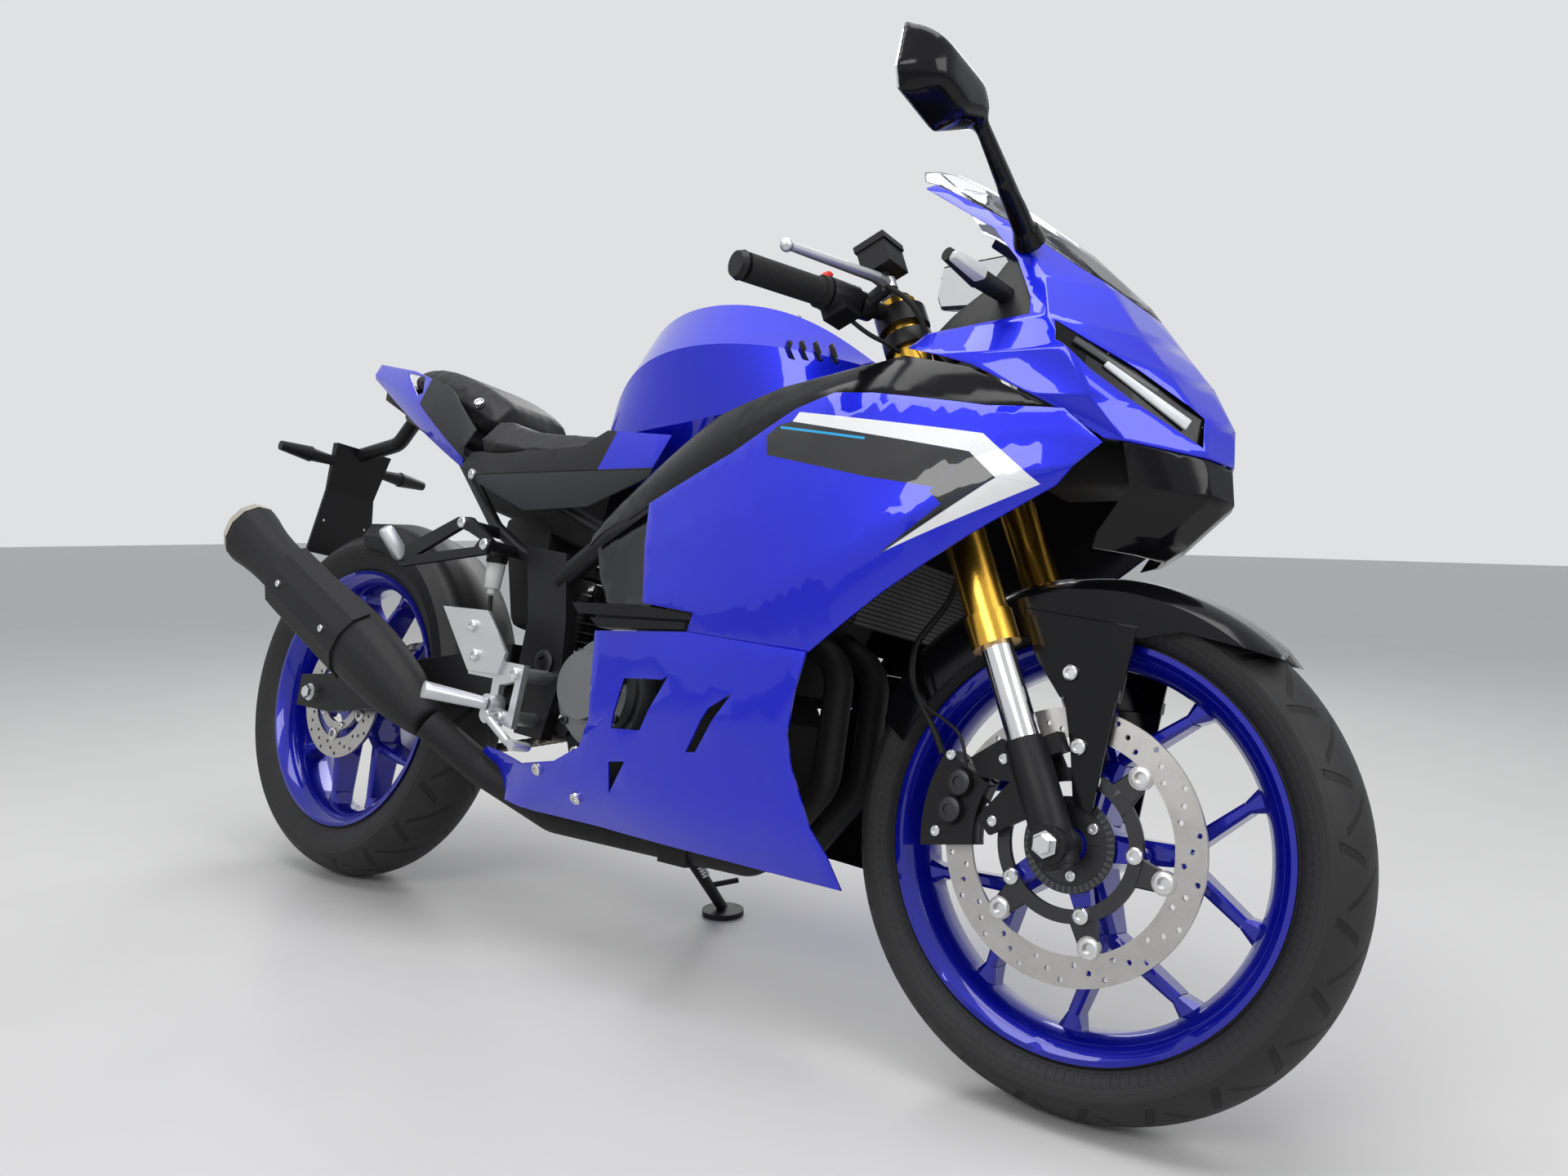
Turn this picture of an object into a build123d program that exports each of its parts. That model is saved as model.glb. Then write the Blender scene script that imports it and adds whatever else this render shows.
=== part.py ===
"""A sport bike parked on its side stand, as an assembly of separate pieces.

The bike is drawn upright in millimetres: +X forward, +Y to the rider's left, +Z up, with the ground
at z = 0 and x = 0 halfway between the axles. The last step leans the whole bike to the left onto its
side stand and moves the origin to the middle of its footprint.
"""

import math
import os

from build123d import *

# Driving dimensions
WHEELBASE = 1380.0
LEAN_DEG = 12.5
RAKE_DEG = 25.0
TRAIL = 95.0
RIM_SEAT_RADIUS = 216.0
RIM_FLANGE_HEIGHT = 13.0
RIM_FLANGE_THICKNESS = 5.0
FRONT_TYRE_SECTION = 77.0
FRONT_TYRE_WIDTH = 110.0
FRONT_RIM_HALF = 38.0
REAR_TYRE_SECTION = 98.0
REAR_TYRE_WIDTH = 140.0
REAR_RIM_HALF = 53.0
CROWN_DROP = 0.55
PANEL = 3.0
GAP = 0.3
RUNNING_GAP = 0.05

# Fork and steering
LEG_SPACING = 196.0
FORK_OUTER_RADIUS = 25.0
FORK_TUBE_RADIUS = 18.5
FORK_TOP = 690.0
FORK_COLLAR_BOTTOM = 226.0
FORK_TUBE_BOTTOM = 116.0
LOWER_CLAMP_LEVEL = 470.0
TOP_CLAMP_LEVEL = 630.0
CLIP_ON_LEVEL = 664.0
STEM_RADIUS = 16.0
HEAD_TUBE_RADIUS = 27.0
FRONT_AXLE_RADIUS = 8.5
AXLE_BORE_RADIUS = 5.5
BAR_RADIUS = 11.0
GRIP_RADIUS = 17.0

# Brakes
FRONT_DISC_RADIUS = 149.0
FRONT_DISC_BAND = 33.0
FRONT_DISC_Y = -62.0
REAR_DISC_RADIUS = 110.0
REAR_DISC_BAND = 34.0
REAR_DISC_Y = -66.0
DISC_THICKNESS = 4.5
DISC_CLEARANCE = 4.0

# Rear end
PIVOT_X = -118.0
PIVOT_Z = 412.0
PIVOT_RADIUS = 10.0
REAR_AXLE_RADIUS = 8.0
ARM_INNER_HALF = 100.0
ARM_THICKNESS = 24.0
CHAIN_Y = 88.0
SPROCKET_TEETH = 43
DRIVE_TEETH = 14
CHAIN_PITCH = 15.875

# Side stand
STAND_PIVOT = (-70.0, 128.0, 212.0)
STAND_FOOT_X = -18.0
STAND_FOOT_REACH = 258.0
STAND_FOOT_RADIUS = 34.0

# Number plate holes
PLATE_X = -890.0
PLATE_THICKNESS = 6.0
PLATE_HOLE_HALF = 45.0
PLATE_HOLE_RADIUS = 3.0
PLATE_HOLE_Z = 640.0

LEAN = math.radians(LEAN_DEG)
RAKE = math.radians(RAKE_DEG)
RIM_FLANGE_RADIUS = RIM_SEAT_RADIUS + RIM_FLANGE_HEIGHT
FRONT_TYRE_RADIUS = RIM_SEAT_RADIUS + FRONT_TYRE_SECTION
REAR_TYRE_RADIUS = RIM_SEAT_RADIUS + REAR_TYRE_SECTION
FRONT_AXLE_X = WHEELBASE / 2
REAR_AXLE_X = -WHEELBASE / 2


def crown_radius(width):
    """Radius of the round tread of a tyre."""
    half = width / 2
    drop = CROWN_DROP * half
    return (half**2 + drop**2) / (2 * drop)


FRONT_CROWN = crown_radius(FRONT_TYRE_WIDTH)
REAR_CROWN = crown_radius(REAR_TYRE_WIDTH)
# A leaned tyre stands on the side of its round crown, so each axle sits a little higher than the radius.
FRONT_AXLE_Z = FRONT_TYRE_RADIUS - FRONT_CROWN + FRONT_CROWN / math.cos(LEAN)
REAR_AXLE_Z = REAR_TYRE_RADIUS - REAR_CROWN + REAR_CROWN / math.cos(LEAN)
# The steering axis meets the ground one trail ahead of the front axle.
FORK_OFFSET = FRONT_AXLE_Z * math.sin(RAKE) - TRAIL * math.cos(RAKE)
AXIS_X = FRONT_AXLE_X - FORK_OFFSET * math.cos(RAKE)
AXIS_Z = FRONT_AXLE_Z - FORK_OFFSET * math.sin(RAKE)
STEER = Plane(
    origin=(AXIS_X, 0, AXIS_Z),
    x_dir=(math.cos(RAKE), 0, math.sin(RAKE)),
    z_dir=(-math.sin(RAKE), 0, math.cos(RAKE)),
)
LEG_Y = LEG_SPACING / 2
FRONT_HUB = Pos(FRONT_AXLE_X, 0, FRONT_AXLE_Z)
REAR_HUB = Pos(REAR_AXLE_X, 0, REAR_AXLE_Z)

# Shape helpers


def polygon(points):
    """A flat face through points in space."""
    return Face(Wire.make_polygon([Vector(*p) for p in points], close=True))


def side_plate(outline, y0, y1):
    """A side-view outline of (x, z) points, as thick as from y0 to y1."""
    face = polygon([(x, y0, z) for x, z in outline])
    return Solid.extrude(face, Vector(0, y1 - y0, 0))


def skin(sections, ruled=False):
    """A closed body through sections, each a list of points."""
    wires = [Wire.make_polygon([Vector(*p) for p in s], close=True) for s in sections]
    return Solid.make_loft(wires, ruled)


def rod(start, end, radius):
    """A round bar from one point to another."""
    a, b = Vector(*start), Vector(*end)
    return Solid.make_cylinder(radius, (b - a).length, Plane(a, z_dir=b - a))


def cone(start, end, radius_start, radius_end):
    """A tapered round bar."""
    a, b = Vector(*start), Vector(*end)
    return Solid.make_cone(radius_start, radius_end, (b - a).length, Plane(a, z_dir=b - a))


def pipe(points, radius, bend):
    """A round pipe along straight runs joined by arcs."""
    path = FilletPolyline(*points, radius=bend)
    start = Plane(path @ 0, z_dir=path % 0)
    return sweep(start * Circle(radius), path=path).solid()


def turned(outline):
    """A (y, radius) outline turned about the Y axis."""
    return Solid.revolve(polygon([(0, y, r) for y, r in outline]), 360, Axis.Y)


def ring(r_in, r_out, y0, y1):
    """A flat ring about the Y axis."""
    return turned([(y0, r_in), (y1, r_in), (y1, r_out), (y0, r_out)])


def box(x0, x1, y0, y1, z0, z1):
    """A block between two corners."""
    return Pos((x0 + x1) / 2, (y0 + y1) / 2, (z0 + z1) / 2) * Box(x1 - x0, y1 - y0, z1 - z0)


def joined(*shapes):
    """One solid from shapes that meet."""
    whole = shapes[0]
    for shape in shapes[1:]:
        whole = whole + shape
    return whole


def main(shape):
    """The largest solid of a shape, without the crumbs a cut leaves."""
    return sorted(shape.solids(), key=lambda solid: solid.volume)[-1]


def left_of(shape):
    """The mirror image on the other side of the bike."""
    return mirror(shape, about=Plane.XZ)


def both(shape):
    """A right-hand piece with its left-hand twin."""
    return Compound([*shape.solids(), *left_of(shape).solids()])


def polar(radius, degrees):
    """An (x, z) point from a radius and an angle."""
    return (radius * math.cos(math.radians(degrees)), radius * math.sin(math.radians(degrees)))


def moved(point, *step):
    """A point shifted by a step."""
    return tuple(a + b for a, b in zip(point, step))


# Wheels, drawn about the Y axis and then moved to their axles


def tyre(radius, width, rim_half):
    """Tyre ring with a round crown, seated on the rim."""
    half = width / 2
    shoulder = radius - CROWN_DROP * half
    bead = rim_half - GAP
    lip = RIM_FLANGE_RADIUS + 2
    with BuildSketch(Plane.YZ) as profile:
        with BuildLine():
            crown = ThreePointArc((-half, shoulder), (0, radius), (half, shoulder))
            wall = ThreePointArc(crown @ 1, (half - 3, (shoulder + lip) / 2), (bead, lip))
            seat = Polyline(wall @ 1, (bead, RIM_SEAT_RADIUS), (-bead, RIM_SEAT_RADIUS), (-bead, lip))
            ThreePointArc(seat @ 1, (3 - half, (shoulder + lip) / 2), crown @ 0)
        make_face()
    return revolve(profile.sketch, axis=Axis.Y).solid()


SPOKES = 5
SPOKE_FORK_RADIUS = 98.0
SPOKE_SPREAD = 20.0
HUB_RADIUS = 34.0
FRONT_HUB_HALF = 59.0
REAR_HUB_HALF = 62.0
DISC_BOLTS = 5
DISC_BOLT_TURN = 1.0


def bar(start, end, half_wide, half_deep):
    """A cast bar with chamfered edges, from (x, z) to (x, z), on the middle plane of a wheel."""
    a, b = Vector(start[0], 0, start[1]), Vector(end[0], 0, end[1])
    along = (b - a).normalized()
    across = Vector(-along.Z, 0, along.X)
    sections = []
    for centre, wide, deep in zip((a, b), half_wide, half_deep):
        cut = min(0.5 * wide, 0.6 * deep)
        corners = [(wide, deep - cut), (wide - cut, deep), (cut - wide, deep), (-wide, deep - cut)]
        corners += [(-u, -v) for u, v in corners]
        sections.append([tuple(centre + across * u + Vector(0, v, 0)) for u, v in corners])
    return skin(sections, ruled=True)


def rim(rim_half, hub_half, turn, bore, disc_y, bolt_radius):
    """Cast rim, hub, forked spokes and disc seats in one piece."""
    lip = rim_half + RIM_FLANGE_THICKNESS
    well = 0.45 * rim_half
    barrel = turned(
        [
            (-lip, RIM_FLANGE_RADIUS),
            (-rim_half, RIM_FLANGE_RADIUS),
            (-rim_half, RIM_SEAT_RADIUS),
            (rim_half, RIM_SEAT_RADIUS),
            (rim_half, RIM_FLANGE_RADIUS),
            (lip, RIM_FLANGE_RADIUS),
            (lip, RIM_FLANGE_RADIUS - 6),
            (rim_half - 4, RIM_SEAT_RADIUS - 5),
            (well, RIM_SEAT_RADIUS - 17),
            (-well, RIM_SEAT_RADIUS - 17),
            (4 - rim_half, RIM_SEAT_RADIUS - 5),
            (-lip, RIM_FLANGE_RADIUS - 6),
        ]
    )
    whole = barrel + ring(bore, HUB_RADIUS, -hub_half, hub_half)
    deep = 0.3 * rim_half + 5
    for index in range(SPOKES):
        middle = turn + 360 / SPOKES * index
        fork = polar(SPOKE_FORK_RADIUS, middle)
        stem = bar(polar(HUB_RADIUS - 4, middle), fork, (15, 12), (0.62 * hub_half, 0.4 * rim_half + 6))
        whole = whole + stem
        for side in (-1, 1):
            foot = polar(RIM_SEAT_RADIUS - 34, middle + side * SPOKE_SPREAD * 0.94)
            end = polar(RIM_SEAT_RADIUS - 12, middle + side * SPOKE_SPREAD)
            whole = whole + bar(fork, foot, (8.5, 6.5), (0.4 * rim_half + 6, deep))
            whole = whole + bar(foot, end, (6.5, 16), (deep, deep))
    for index in range(DISC_BOLTS):
        angle = DISC_BOLT_TURN + 360 / DISC_BOLTS * index
        x, z = polar(bolt_radius, angle)
        tip = polar(bolt_radius, angle)
        left, right = polar(HUB_RADIUS - 6, angle - 32), polar(HUB_RADIUS - 6, angle + 32)
        near, far = polar(bolt_radius, angle - 7), polar(bolt_radius, angle + 7)
        face = disc_y + 3 + GAP
        whole = whole + side_plate([left, near, far, right], face, face + 12)
        whole = whole + rod((tip[0], face, tip[1]), (x, face + 14, z), 10)
    return main(whole)


def round_wire(x, y, z, radius):
    """A circle that faces along Y."""
    return Wire.make_circle(radius, Plane((x, y, z), x_dir=(1, 0, 0), z_dir=(0, 1, 0)))


TAB_RADIUS = 13.0
TAB_INSET = 7.0
TAB_TURN = 49.0


def disc(radius, band, y, tabs, drilled):
    """Drilled brake band with button tabs on its inner edge."""
    half = DISC_THICKNESS / 2
    inner = radius - band
    holes = [round_wire(0, y - half, 0, inner)]
    for index in range(drilled):
        for row, share in enumerate((0.28, 0.53, 0.78)):
            x, z = polar(inner + share * band, 360 / drilled * (index + row / 3))
            holes.append(round_wire(x, y - half, z, 3))
    whole = Solid.extrude(Face(round_wire(0, y - half, 0, radius), holes), Vector(0, DISC_THICKNESS, 0))
    for index in range(tabs):
        x, z = polar(inner - TAB_INSET, 360 / tabs * index + TAB_TURN)
        whole = whole + rod((x, y - half - 0.7, z), (x, y + half + 0.7, z), TAB_RADIUS)
    for index in range(tabs):
        x, z = polar(inner - TAB_INSET, 360 / tabs * index + TAB_TURN)
        whole = whole - rod((x, y - 9, z), (x, y + 9, z), 5.5)
    return main(whole)


def carrier(radius, band, y, outer, tabs):
    """Open spider that carries the brake band on its tabs."""
    inner = radius - band
    whole = ring(outer - 15, outer, y - 4, y + 3)
    for index in range(tabs):
        angle = 360 / tabs * index + TAB_TURN
        x, z = polar(inner - TAB_INSET, angle)
        arm = bar(polar(outer - 8, angle), (x, z), (17, 11), (2.8, 2.8))
        whole = whole + Pos(0, y, 0) * arm
        whole = whole - rod((x, y - 9, z), (x, y + 9, z), TAB_RADIUS + GAP)
    return main(whole)


def toothed(teeth, y0, y1, outer, bore):
    """A chain sprocket as a toothed plate."""
    points = []
    for index in range(teeth):
        for part, radius in ((0.0, outer - 6), (0.3, outer - 6), (0.45, outer), (0.75, outer)):
            points.append(polar(radius, 360 / teeth * (index + part)))
    return side_plate(points, y0, y1) - rod((0, y0 - 1, 0), (0, y1 + 1, 0), bore)


SPROCKET_RADIUS = CHAIN_PITCH / (2 * math.sin(math.pi / SPROCKET_TEETH))
DRIVE_RADIUS = CHAIN_PITCH / (2 * math.sin(math.pi / DRIVE_TEETH))
CHAIN_HALF = 5.0
CHAIN_HALF_WIDTH = 8.0
DRIVE_X = -58.0
DRIVE_Z = 392.0
FRONT_CARRIER_RADIUS = 83.0
REAR_CARRIER_RADIUS = 62.0

nodes = {}
nodes["front_tyre"] = FRONT_HUB * tyre(FRONT_TYRE_RADIUS, FRONT_TYRE_WIDTH, FRONT_RIM_HALF)
front_bore = FRONT_AXLE_RADIUS + GAP
front_bolts = FRONT_CARRIER_RADIUS - 8
nodes["front_rim"] = FRONT_HUB * rim(FRONT_RIM_HALF, FRONT_HUB_HALF, 3, front_bore, FRONT_DISC_Y, front_bolts)
nodes["rear_tyre"] = REAR_HUB * tyre(REAR_TYRE_RADIUS, REAR_TYRE_WIDTH, REAR_RIM_HALF)
rear_bore = REAR_AXLE_RADIUS + GAP
rear_bolts = REAR_CARRIER_RADIUS - 8
nodes["rear_rim"] = REAR_HUB * rim(REAR_RIM_HALF, REAR_HUB_HALF, 20, rear_bore, REAR_DISC_Y, rear_bolts)
nodes["front_disc"] = FRONT_HUB * disc(FRONT_DISC_RADIUS, FRONT_DISC_BAND, FRONT_DISC_Y, 6, 18)
front_spider = carrier(FRONT_DISC_RADIUS, FRONT_DISC_BAND, FRONT_DISC_Y, FRONT_CARRIER_RADIUS, 6)
speed_ring = ring(43, 52, FRONT_DISC_Y - 1.5, FRONT_DISC_Y + 1.5)
speed_ring = speed_ring + ring(20, 45, FRONT_DISC_Y + 1, -FRONT_HUB_HALF - GAP)
nodes["front_carrier"] = FRONT_HUB * Compound([front_spider, main(speed_ring)])
rear_disc = disc(REAR_DISC_RADIUS, REAR_DISC_BAND, REAR_DISC_Y, 5, 14)
rear_spider = carrier(REAR_DISC_RADIUS, REAR_DISC_BAND, REAR_DISC_Y, REAR_CARRIER_RADIUS, 5)
nodes["rear_disc"] = REAR_HUB * Compound([rear_disc, rear_spider])
sprocket_outer = SPROCKET_RADIUS - CHAIN_HALF - 0.5
sprocket = toothed(SPROCKET_TEETH, CHAIN_Y - 4, CHAIN_Y + 4, sprocket_outer, 40)
nodes["rear_sprocket"] = REAR_HUB * (sprocket + ring(33, 48, REAR_HUB_HALF, CHAIN_Y - 2))

# Front fork and bars, drawn in the steering frame and then placed


def leg(z0, z1, radius):
    """A length of the right-hand fork leg."""
    return rod((FORK_OFFSET, -LEG_Y, z0), (FORK_OFFSET, -LEG_Y, z1), radius)


def steered(shape):
    """A steering-frame shape in its place on the bike."""
    return STEER.location * shape


fork_outer = joined(
    leg(FORK_COLLAR_BOTTOM + 14, FORK_TOP, FORK_OUTER_RADIUS),
    leg(FORK_COLLAR_BOTTOM, FORK_COLLAR_BOTTOM + 38, FORK_OUTER_RADIUS + 3),
)
nodes["fork_outers"] = steered(both(fork_outer))
nodes["fork_tubes"] = steered(both(leg(FORK_TUBE_BOTTOM, FORK_COLLAR_BOTTOM, FORK_TUBE_RADIUS)))
foot = joined(
    leg(22, FORK_TUBE_BOTTOM, 22.5),
    cone((FORK_OFFSET, -LEG_Y, -24), (FORK_OFFSET, -LEG_Y, 22), 20, 22.5),
    rod((FORK_OFFSET, -LEG_Y - 24, 0), (FORK_OFFSET, -LEG_Y + 23, 0), 21),
    box(FORK_OFFSET + 4, FORK_OFFSET + 38, -LEG_Y + 4, -75, 92, 114),
)
foot = foot - rod((FORK_OFFSET, -130, 0), (FORK_OFFSET, -60, 0), FRONT_AXLE_RADIUS + RUNNING_GAP)
nodes["fork_feet"] = steered(both(foot))
axle = joined(
    rod((FORK_OFFSET, -124, 0), (FORK_OFFSET, 124, 0), FRONT_AXLE_RADIUS),
    rod((FORK_OFFSET, -127, 0), (FORK_OFFSET, -LEG_Y - 24, 0), 13),
    rod((FORK_OFFSET, LEG_Y + 24, 0), (FORK_OFFSET, 127, 0), 13),
    rod((FORK_OFFSET, -LEG_Y + 23, 0), (FORK_OFFSET, -FRONT_HUB_HALF - GAP, 0), 14),
    rod((FORK_OFFSET, FRONT_HUB_HALF + GAP, 0), (FORK_OFFSET, LEG_Y - 23, 0), 14),
)
axle = axle - rod((FORK_OFFSET, -140, 0), (FORK_OFFSET, 140, 0), AXLE_BORE_RADIUS)
nodes["front_axle"] = steered(axle)


def clamp(level, thickness, pad):
    """A triple clamp plate that tapers from the stem to a boss about each leg."""
    low, high = level - thickness / 2, level + thickness / 2
    rear, front = FORK_OFFSET - pad + 10, FORK_OFFSET + pad - 8
    outline = [(-26, 0), (-20, -30), (rear, -LEG_Y), (front, -LEG_Y), (FORK_OFFSET + 12, 0)]
    outline += [(front, LEG_Y), (rear, LEG_Y), (-20, 30)]
    plate = Solid.extrude(polygon([(x, y, low) for x, y in outline]), Vector(0, 0, thickness))
    plate = plate + rod((0, 0, low), (0, 0, high), 28)
    for side in (-1, 1):
        y = side * LEG_Y
        plate = plate + rod((FORK_OFFSET, y, low), (FORK_OFFSET, y, high), pad)
        plate = plate - rod((FORK_OFFSET, y, low - 40), (FORK_OFFSET, y, high + 40), FORK_OUTER_RADIUS + RUNNING_GAP)
    return plate


clamps = joined(
    clamp(LOWER_CLAMP_LEVEL, 26, 33),
    clamp(TOP_CLAMP_LEVEL, 20, 32),
    rod((0, 0, LOWER_CLAMP_LEVEL), (0, 0, TOP_CLAMP_LEVEL + 16), STEM_RADIUS),
)
nodes["triple_clamps"] = steered(clamps)
to_steer = STEER.location.inverse()


def in_steer(point):
    """A bike point in the steering frame."""
    return tuple((to_steer * Pos(*point)).position)


BAR_INNER = in_steer((402, -100, 905))
BAR_OUTER = in_steer((331, -338, 888))


def on_bar(t):
    """A point along the right bar, from 0 at the clamp to 1 at the tip."""
    return tuple(a + (b - a) * t for a, b in zip(BAR_INNER, BAR_OUTER))


clip_on = joined(
    leg(CLIP_ON_LEVEL - 13, CLIP_ON_LEVEL + 13, 33),
    rod(on_bar(0.02), on_bar(0.97), BAR_RADIUS),
    cone(on_bar(0.95), on_bar(0.97), 14, 18),
    cone(on_bar(0.97), on_bar(1.0), 18, 15),
)
clip_on = clip_on - leg(CLIP_ON_LEVEL - 60, FORK_TOP + 40, FORK_OUTER_RADIUS + RUNNING_GAP)
nodes["handlebars"] = steered(both(clip_on))
bar_hole = rod(on_bar(0.1), on_bar(1), BAR_RADIUS + RUNNING_GAP)
grip = joined(
    rod(on_bar(0.50), on_bar(0.945), GRIP_RADIUS),
    rod(on_bar(0.48), on_bar(0.51), GRIP_RADIUS + 3),
)
nodes["grips"] = steered(both(grip - bar_hole))
perch_tip = moved(on_bar(0.24), 42, 0, 4)
pod = joined(
    rod(on_bar(0.30), on_bar(0.47), 21),
    Pos(*moved(on_bar(0.38), -4, 0, -8)) * Box(34, 34, 40),
    rod(on_bar(0.19), on_bar(0.27), 17),
    rod(moved(on_bar(0.23), 6, 0, 0), perch_tip, 9),
)
pod = pod - bar_hole
cup_at = on_bar(0.25)
cup = joined(
    rod(moved(cup_at, 40, 0, 4), moved(cup_at, 44, 0, 20), 7),
    Pos(*moved(cup_at, 44, 0, 36)) * Box(40, 44, 34),
    Pos(*moved(cup_at, 44, 0, 56)) * Box(44, 48, 9),
)
nodes["bar_controls"] = steered(Compound([*joined(pod, cup).solids(), *left_of(pod).solids()]))
lever_elbow = moved(on_bar(0.34), 48, 0, 4)
lever_tip = moved(on_bar(0.93), 56, 0, -4)
lever = joined(
    rod(moved(perch_tip, 0, 0, -7), moved(perch_tip, 0, 0, 7), 10),
    cone(perch_tip, lever_elbow, 8, 7),
    cone(lever_elbow, lever_tip, 7, 5),
    Pos(*lever_elbow) * Sphere(7),
    Pos(*lever_tip) * Sphere(8),
)
lever = main(lever - joined(pod, cup))
nodes["levers"] = steered(both(lever))

# Front caliper about the disc edge, on a bracket from the fork foot


def sector(start, end, reach, y0, y1):
    """A wedge about the Y axis between two angles."""
    middle = polar(1.3 * reach, (start + end) / 2)
    return side_plate([(0, 0), polar(reach, start), middle, polar(reach, end)], y0, y1)


disc_face = DISC_THICKNESS / 2 + DISC_CLEARANCE
outboard, inboard = FRONT_DISC_Y - disc_face, FRONT_DISC_Y + disc_face
edge = FRONT_DISC_RADIUS + DISC_CLEARANCE
caliper = joined(
    ring(104, edge + 17, outboard - 18, outboard),
    ring(edge, edge + 17, outboard - 18, inboard + 14),
    ring(112, edge + 17, inboard, inboard + 14),
)
caliper = main(caliper & sector(151, 190, 200, -120, 0))
for angle in (159, 173):
    x, z = polar(FRONT_DISC_RADIUS - 14, angle)
    caliper = caliper + cone((x, outboard - 14, z), (x, outboard - 25, z), 18, 16)
caliper = FRONT_HUB * caliper
bracket_outline = [(664, 326), (652, 384), (606, 398), (570, 372), (584, 352), (622, 352), (586, 306), (604, 290)]
bracket = side_plate(bracket_outline, outboard - 14, outboard - 6)
caliper = main(caliper + bracket - steered(foot))
nodes["front_caliper"] = caliper

# Front mudguard: an arch turned about the front axle, cut to its side outline, with a blade beside each leg
crown_at = FRONT_TYRE_RADIUS + 11
arch_half = FRONT_TYRE_WIDTH / 2 + 11
arch_outer = [(-arch_half, crown_at - 68), (-arch_half, crown_at - 23), (20 - arch_half, crown_at - 7), (0, crown_at)]
arch_inner = [(y + 3 if y < 0 else 0, r - PANEL) for y, r in arch_outer]
arch_inner[0] = (arch_inner[0][0], crown_at - 68)
arch_profile = arch_outer + [(-y, r) for y, r in reversed(arch_outer[:-1])]
arch_profile += [(-y, r) for y, r in arch_inner[:-1]] + list(reversed(arch_inner))
arch = FRONT_HUB * turned(arch_profile)
fender_outline = [
    (440, 402),
    (468, 380),
    (530, 450),
    (600, 505),
    (640, 522),
    (745, 524),
    (790, 534),
    (886, 516),
    (870, 560),
    (690, 640),
    (470, 560),
]
fender = main(arch & side_plate(fender_outline, -90, 90))
blade = joined(
    side_plate([(730, 462), (716, 330), (694, 340), (684, 400), (668, 462)], -75, -71),
    side_plate([(732, 466), (664, 466), (668, 452), (731, 452)], -75, 3 - arch_half),
    side_plate([(606, 550), (741, 536), (731, 452), (662, 452), (626, 497)], -arch_half - 1, 3 - arch_half),
)
fender = joined(fender, blade, left_of(blade))
nodes["front_fender"] = main(fender - nodes["fork_feet"] - nodes["fork_outers"])

# Frame
PLATE_Y = 108.0
SIDE_PLATE = 22.0


def plate_pair(outline, y_in, y_out):
    """A side plate on each side of the bike."""
    return side_plate(outline, -y_out, -y_in), side_plate(outline, y_in, y_out)


stem_hole = steered(rod((0, 0, 400), (0, 0, 700), STEM_RADIUS + GAP))
head = steered(rod((0, 0, LOWER_CLAMP_LEVEL + 16), (0, 0, TOP_CLAMP_LEVEL - 13), HEAD_TUBE_RADIUS))
HEAD_MID = tuple((STEER.location * Pos(0, 0, 545)).position)
beam_path = [(HEAD_MID[0] - 10, -14, HEAD_MID[2] - 14), (330, -74, 742), (230, -112, 712)]
beam = pipe(beam_path + [(-20, -120, 606), (-112, -119, 540)], 17, 60)
plate_outline = [(-190, 590), (-100, 580), (-78, 480), (-70, 400), (-92, 306), (-150, 310), (-165, 400), (-160, 480)]
plates = plate_pair(plate_outline, PLATE_Y, PLATE_Y + SIDE_PLATE)
rail_upper = pipe([(-30, -112, 612), (-180, -100, 668), (-420, -84, 742), (-660, -52, 836)], 11, 60)
rail_lower = pipe([(-150, -119, 560), (-223, -112, 584), (-300, -104, 622), (-440, -84, 738)], 10, 60)
frame_right = joined(beam, rail_upper, rail_lower)
cross_bars = joined(
    rod((-150, -112, 566), (-150, 112, 566), 13),
    rod((-112, -112, 316), (-112, 112, 316), 10),
    rod((-300, -92, 705), (-300, 92, 705), 9),
    rod((-640, -56, 828), (-640, 56, 828), 9),
    rod((PIVOT_X, -136, PIVOT_Z), (PIVOT_X, 136, PIVOT_Z), PIVOT_RADIUS),
)
frame = joined(head, frame_right, left_of(frame_right), *plates, cross_bars)
nose_stay = steered(box(22, 70, -22, 22, 520, 580)) + box(470, 640, -20, 20, 790, 826)
frame = joined(frame, nose_stay) - stem_hole

# Swingarm, rear axle, shock and chain
arm_outline = [(-192, 440), (-192, 372), (-300, 342), (-650, 288), (-738, 290), (-738, 344), (-660, 352), (-330, 412)]
arms = plate_pair(arm_outline, ARM_INNER_HALF, ARM_INNER_HALF + ARM_THICKNESS)
swingarm = joined(
    *arms,
    box(-240, -192, -ARM_INNER_HALF - 2, ARM_INNER_HALF + 2, 348, 410),
    box(-200, PIVOT_X, -96, 72, 388, 434),
    rod((PIVOT_X, -PLATE_Y, PIVOT_Z), (PIVOT_X, 74, PIVOT_Z), 25),
)
swingarm = swingarm - rod((PIVOT_X, -140, PIVOT_Z), (PIVOT_X, 140, PIVOT_Z), PIVOT_RADIUS + RUNNING_GAP)
axle_hole = REAR_HUB * rod((0, -140, 0), (0, 140, 0), REAR_AXLE_RADIUS + RUNNING_GAP)
nodes["swingarm"] = main(swingarm - axle_hole)
arm_outer = ARM_INNER_HALF + ARM_THICKNESS
rear_axle = joined(
    rod((0, -arm_outer - 12, 0), (0, arm_outer + 12, 0), REAR_AXLE_RADIUS),
    rod((0, -arm_outer - 9, 0), (0, -arm_outer, 0), 15),
    rod((0, arm_outer, 0), (0, arm_outer + 9, 0), 15),
    rod((0, -ARM_INNER_HALF, 0), (0, REAR_DISC_Y - 8, 0), 14),
    rod((0, CHAIN_Y + 6, 0), (0, ARM_INNER_HALF, 0), 14),
)
nodes["rear_axle"] = REAR_HUB * rear_axle
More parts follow.
